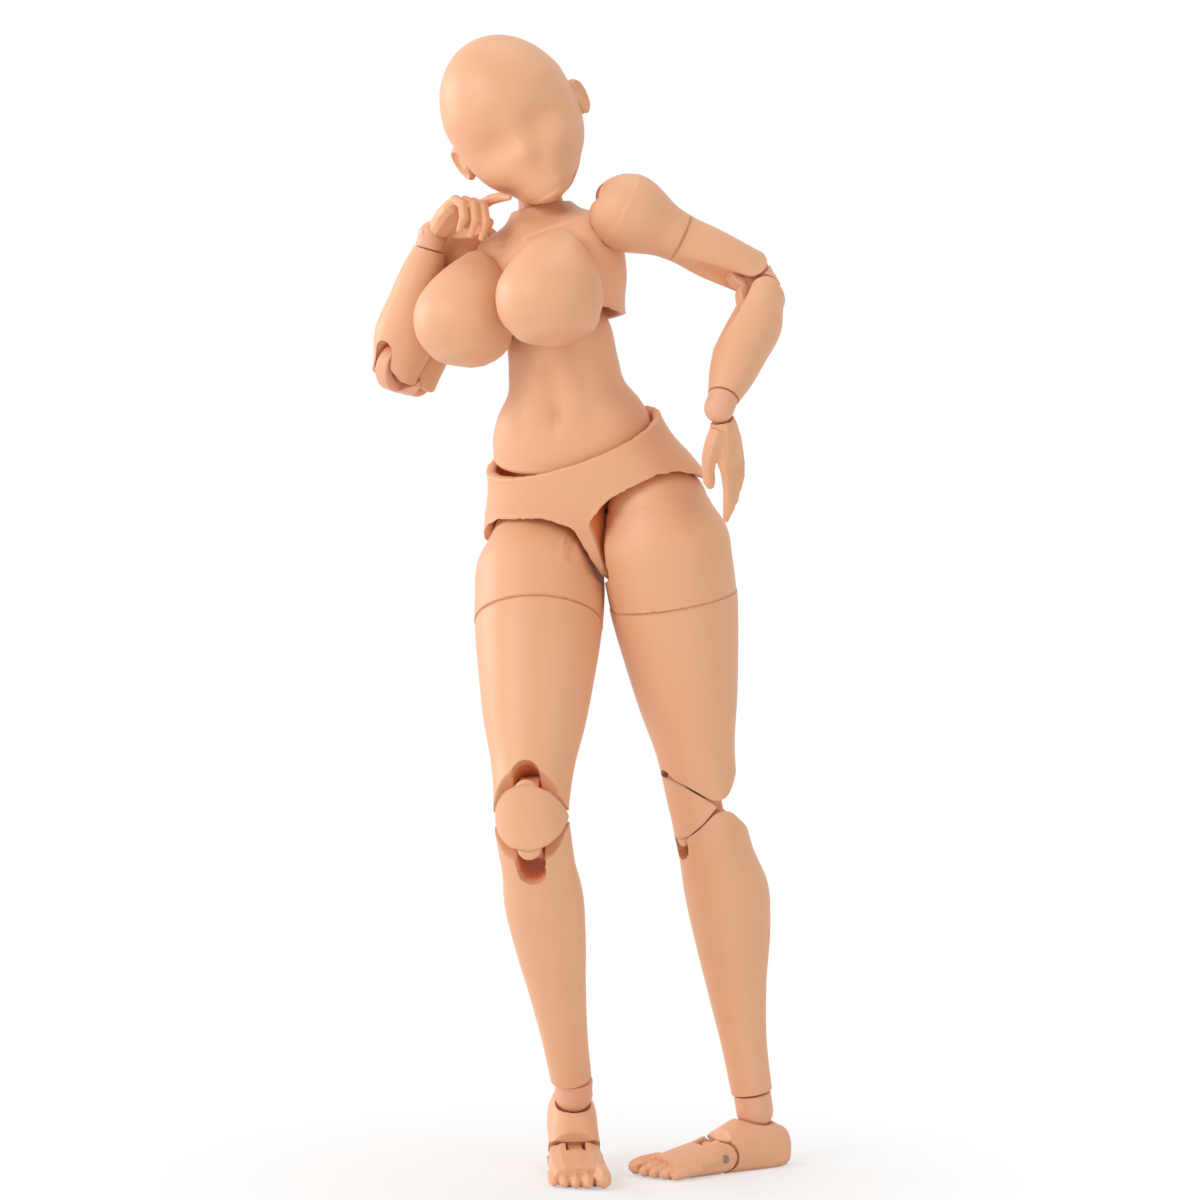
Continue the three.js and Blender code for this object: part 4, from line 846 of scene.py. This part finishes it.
# The last of these is the share of painted shade on the seam lip: its colour is darkened to stand
# for the shade inside the seam.
LIP_INSET, LIP_HALF, LIP_DEEP, LIP_SHADE = 0.02, 0.06, 1.2, 0.85
PRESS = 0.02  # a tab is pressed this far clear of its socket's wall
PROUD = 0.02  # a barrel stands this far proud of its block
WRIST_BARREL_TOP, ANKLE_BARREL_TOP = 1.65, 2.2
BLOCKS = ("shoulder_joint", "hip_joint", "elbow_block", "wrist_block", "knee_block", "ankle_block")
PLASTIC_PINS = {  # how far each end stands out of its node
    "shoulder_pin": 0, "elbow_pin_upper": 0, "elbow_pin_lower": 0, "wrist_pin": 0.3,
    "hip_pin": 0, "knee_pin_upper": 0, "knee_pin_lower": 0, "ankle_pin": 0.15,
}
TOE_PIN_OUT = 0.68
LUGS = {  # radius of the upper and the lower lug, half thickness
    "elbow": (2.65, 2.9, ELBOW_LUG_T / 2),
    "knee": (2.25, 2.25, KNEE_LUG_T / 2),
}
INNER_SIDE = {  # height below which the thigh is filled out, room above it, growth of that room
    "left": (-7.7, 0.1, 0),
    "right": (-6.3, 0.27, 0.2),
}
TONGUE_W, TONGUE_STRAIGHT, TONGUE_T = 1.45, 3.3, 0.72
TONGUE_FACE, TONGUE_BACK, TONGUE_SQUARE = -3.9, 0.4, 0.55
CAP_DEEP = 4.6


def no_painted_shade(p, painted_shade):
    """The foot's cut front lies open to the light, so it gets no painted shade and keeps the plain
    colour.
    """
    return p, painted_shade * 0.0


def inner_side_full(k, low, room, slope):
    """Fills the thigh's faced inner side out to its round form below the height low, and above
    that only by room + slope |z|, to stay clear of the crotch strip at rest. The face and the step
    round it are found by their distance from the facing's plane and edge."""

    def shape(p, painted_shade):
        x, y, z = p.T
        full = smooth_step(-z, -low, 0.8 - low)
        wide, front, back, _ = sections(THIGH, z)
        skin = wide * np.sqrt(np.maximum(1 - (y / np.where(y < 0, front, back)) ** 2, 0))
        radius = np.hypot(y, z)
        face = (np.abs(k * x + HIP_DISC_X) < 0.22) & (radius < HIP_DISC_R + 0.15)
        step = np.abs(radius - HIP_DISC_R) < 0.9
        step = step & (k * x < -HIP_DISC_X + 0.5) & (k * x > -skin)
        face = face | step
        dish = 0.2 * smooth_step(HIP_DISC_R - radius, 0.3, 2.5)
        fill = np.clip(skin - HIP_DISC_X - dish, 0, 3)
        fill = np.where(full < 1, np.minimum(fill, room + slope * np.abs(z) + 3 * full), fill)
        p[:, 0] = np.where(face, -k * (HIP_DISC_X + fill), x)
        # where the face is filled out to the skin it lies open to the light and gets no painted
        # shade
        return p, np.where(face & (fill > 0.4), 0, painted_shade)

    return shape


def knee_tongue(side, place):
    """Tongue of the kneecap that rides in the arched slots above and below it: rows along z, each
    a rounded bar of half width w(z) with round ends, bent like the cap and set behind its face."""
    z = (TONGUE_STRAIGHT + TONGUE_W) * np.sin(np.linspace(-math.pi / 2, math.pi / 2, 81))
    past = np.clip(np.abs(z) - TONGUE_STRAIGHT, 0, TONGUE_W)
    wide = np.sqrt(np.maximum(TONGUE_W**2 - past**2, 1e-8))
    t = round_turn(64)
    c, d = (np.sign(v) * np.abs(v) ** TONGUE_SQUARE for v in (np.cos(t), np.sin(t)))
    x = np.outer(wide, c)
    y = TONGUE_FACE + TONGUE_T * np.outer((wide / TONGUE_W) ** 0.5, d)
    y = y + CAP_DEEP * (1 - np.sqrt(1 - (x / KNEE_W) ** 2)) + TONGUE_BACK
    grid = np.stack([x, y, np.repeat(z[:, None], len(t), axis=1) - KNEE_HALF], axis=-1)
    body = BODY_OF[f"knee_cap_{side}"]
    grid_piece(f"knee_tongue_{side}", place.world(grid), "skin_plastic", body)


def seam_lip(name, place, stations, z, body):
    """Lip inside a swivel seam: the limb's section at height z drawn in a little, as a thin closed
    ring of rectangular section."""
    wide, front, back, _ = sections(stations, np.array([z]))
    t = round_turn(96)
    deep = np.where(np.sin(t) < 0, front, back)
    inset = np.array([LIP_INSET, LIP_INSET, LIP_DEEP, LIP_DEEP, LIP_INSET])[:, None]
    up = np.array([LIP_HALF, -LIP_HALF, -LIP_HALF, LIP_HALF, LIP_HALF])[:, None]
    x, y = (wide - inset) * np.cos(t), (deep - inset) * np.sin(t)
    grid = np.stack([x, y, np.repeat(z + up, len(t), axis=1)], axis=-1)
    # the lip carries painted shade, for the shade deep in the seam
    grid_piece(name, place.world(grid), "skin_plastic", body, painted_shade=LIP_SHADE)


def make_limbs(side, places):
    """Arm and leg shells of one side."""

    def limb(name, voxel, *rest, **more):
        piece(f"{name}_{side}", "skin_plastic", voxel, *rest, **more)

    def swivel(seam, way):
        """Where an end beside a swivel seam lies in the solid, and where it is brought to."""
        return -seam + way * GAP / 2, -seam + way * SEAM_HAIR

    arm, leg = [loft(ARM), globe(DELTOID_R)], [loft(THIGH), globe(HIP_BALL_R)]
    wrist, ankle = places["wrist"].origin, places["ankle"].origin
    limb("upper_arm", 0.13, places["arm"], arm, after=24, face=swivel(ARM_SEAM, 1))
    limb("bicep", 0.12, places["arm"], arm, face=swivel(ARM_SEAM, -1))
    seam_lip(f"arm_seam_lip_{side}", places["arm"], ARM, -ARM_SEAM, BODY_OF[f"bicep_{side}"])
    limb("forearm", 0.12, places["forearm"], [loft(LOWER_ARM)])
    limb("hand", 0.1, rounds=100, socket=(wrist, WRIST_SOCKET_R - PRESS))
    limb("thigh_upper", 0.17, places["hip"], leg, after=70, face=swivel(THIGH_SEAM, 1),
         shape=inner_side_full(SIDES[side], *INNER_SIDE[side]))
    limb("thigh_lower", 0.16, places["thigh"], leg, face=swivel(THIGH_SEAM, -1))
    seam_lip(f"thigh_seam_lip_{side}", places["thigh"], THIGH, -THIGH_SEAM,
             BODY_OF[f"thigh_lower_{side}"])
    limb("shin", 0.15, places["shin"], [loft(SHIN)])
    limb("knee_cap", 0.1, places["knee"], [kneecap_skin()])
    knee_tongue(side, places["knee"])
    limb("foot", 0.12, places["foot"], [foot_skin()], rounds=12, after=8, shape=no_painted_shade,
         socket=(ankle, ANKLE_SOCKET_R - PRESS))
    limb("toes", 0.1, rounds=40)


def make_joints(side, places):
    """Blocks, lugs, barrels and pins of one side."""
    for name in BLOCKS:
        piece(f"{name}_{side}", "joint_plastic", 0.1, rounds=5)
    for name, out in PLASTIC_PINS.items():
        turned_pin(f"{name}_{side}", "joint_plastic", out)
    turned_pin(f"toe_pin_{side}", "metal_pin", TOE_PIN_OUT)
    for joint, (upper_r, lower_r, half) in LUGS.items():
        axis = np.array(JOINTS[f"{joint}_upper_{side}"]["axis"])
        for level, radius in (("upper", upper_r), ("lower", lower_r)):
            centre = joint_at(f"{joint}_{level}_{side}")
            lug_ring(f"{joint}_lug_{level}_{side}", centre, axis, radius, half,
                     BODY_OF[f"{joint}_block_{side}"])
    for joint, radius, top in (("wrist", WRIST_R, WRIST_BARREL_TOP),
                               ("ankle", ANKLE_R, ANKLE_BARREL_TOP)):
        barrel(f"{joint}_barrel_{side}", places[joint], radius + PROUD, top,
               BODY_OF[f"{joint}_block_{side}"])


PLACES = body_places()
make_torso(PLACES)
for each_side in SIDES:
    side_places = limb_places(each_side, PLACES)
    make_limbs(each_side, side_places)
    make_joints(each_side, side_places)


# Floor, light and camera

FLOOR_REACH = 3.0  # metres, as all sizes of the stage are
LAMPS = {  # place, what it points at, width, power, colour
    "key": ((-0.3, -0.5, 0.4), (0, 0, 0.08), 0.35, 1.65, (1.0, 0.985, 1.0)),
    "left_edge": ((-0.62, 0.02, 0.22), (0, 0, 0.07), 0.3, 1.4, (0.98, 0.97, 1.0)),
    "fill": ((0.55, -0.35, 0.2), (0, 0, 0.07), 0.4, 0.6, (1, 1, 1)),
    "top": ((0.0, 0.1, 0.6), (0, 0, 0.07), 0.4, 0.6, (1, 1, 1)),
}


def looked_at(tree):
    """1 for rays that show the backdrop: seen directly, in a reflection or through something."""
    path = node(tree, "ShaderNodeLightPath")
    total = path.outputs["Is Camera Ray"]
    for ray in ("Is Glossy Ray", "Is Transmission Ray"):
        add = node(tree, "ShaderNodeMath", operation="ADD", use_clamp=True)
        tree.links.new(total, add.inputs[0])
        tree.links.new(path.outputs[ray], add.inputs[1])
        total = add.outputs[0]
    return total


def lit_floor():
    """Pale floor with the figure's shadow, fading to plain white for the camera beyond the feet."""
    r = FLOOR_REACH
    mesh = bpy.data.meshes.new("studio_floor")
    mesh.from_pydata([(-r, -r, 0), (r, -r, 0), (r, r, 0), (-r, r, 0)], [], [(0, 1, 2, 3)])
    floor = bpy.data.objects.new("studio_floor", mesh)
    bpy.context.scene.collection.objects.link(floor)
    material, tree, shader, place = new_material("studio_floor")
    shader.inputs["Base Color"].default_value = (0.9, 0.9, 0.9, 1)
    shader.inputs["Roughness"].default_value = 0.9
    shader.inputs["Specular IOR Level"].default_value = 0.05
    away = node(tree, "ShaderNodeVectorMath", operation="LENGTH")
    fade = node(tree, "ShaderNodeMapRange", {"From Min": 0.015, "From Max": 0.06, "To Min": 0.45},
                interpolation_type="SMOOTHSTEP")
    seen = node(tree, "ShaderNodeMath", operation="MULTIPLY")
    white = node(tree, "ShaderNodeEmission")
    mix = node(tree, "ShaderNodeMixShader")
    link = tree.links.new
    link(place, away.inputs[0])
    link(away.outputs["Value"], fade.inputs["Value"])
    link(fade.outputs["Result"], seen.inputs[0])
    link(looked_at(tree), seen.inputs[1])
    link(seen.outputs[0], mix.inputs[0])
    link(shader.outputs[0], mix.inputs[1])
    link(white.outputs[0], mix.inputs[2])
    link(mix.outputs[0], tree.nodes["Material Output"].inputs["Surface"])
    mesh.materials.append(material)


def softbox(name, place, target, size, power, colour):
    """Round area lamp pointed at a target."""
    light = bpy.data.lights.new(name, "AREA")
    light.shape = "DISK"
    light.size = size
    light.energy = power
    light.color = colour
    lamp = bpy.data.objects.new(name, light)
    lamp.location = place
    lamp.rotation_euler = (Vector(target) - Vector(place)).to_track_quat("-Z", "Y").to_euler()
    bpy.context.scene.collection.objects.link(lamp)


def studio():
    """Warm even world that looks white itself, and the lamps."""
    world = bpy.data.worlds.new("studio")
    bpy.context.scene.world = world
    world.use_nodes = True
    tree = world.node_tree
    back = tree.nodes["Background"]
    back.inputs["Color"].default_value = (1, 0.92, 0.84, 1)
    back.inputs["Strength"].default_value = 0.58
    seen = node(tree, "ShaderNodeBackground", Color=(1, 1, 1, 1))
    mix = node(tree, "ShaderNodeMixShader")
    link = tree.links.new
    link(looked_at(tree), mix.inputs[0])
    link(back.outputs[0], mix.inputs[1])
    link(seen.outputs[0], mix.inputs[2])
    link(mix.outputs[0], tree.nodes["World Output"].inputs["Surface"])
    for name, settings in LAMPS.items():
        softbox(name, *settings)


def photo_camera():
    """Camera at the photograph's angle and distance, with its picture's width at the figure."""
    a, e = math.radians(VIEW_AZIMUTH), math.radians(VIEW_ELEVATION)
    right = Vector((math.cos(a), math.sin(a), 0))
    back = Vector((math.sin(a) * math.cos(e), -math.cos(a) * math.cos(e), math.sin(e)))
    data = bpy.data.cameras.new("photo_camera")
    data.sensor_fit = "HORIZONTAL"
    data.lens = data.sensor_width * VIEW_DISTANCE / PICTURE_WIDTH
    data.clip_start = 0.01
    camera = bpy.data.objects.new("photo_camera", data)
    target = right * VIEW_RIGHT * MM + Vector((0, 0, VIEW_HEIGHT * MM))
    camera.location = target + back * VIEW_DISTANCE * MM
    camera.rotation_euler = (-back).to_track_quat("-Z", "Y").to_euler()
    bpy.context.scene.collection.objects.link(camera)
    bpy.context.scene.camera = camera


lit_floor()
studio()
photo_camera()
bpy.context.scene.view_settings.view_transform = "Standard"
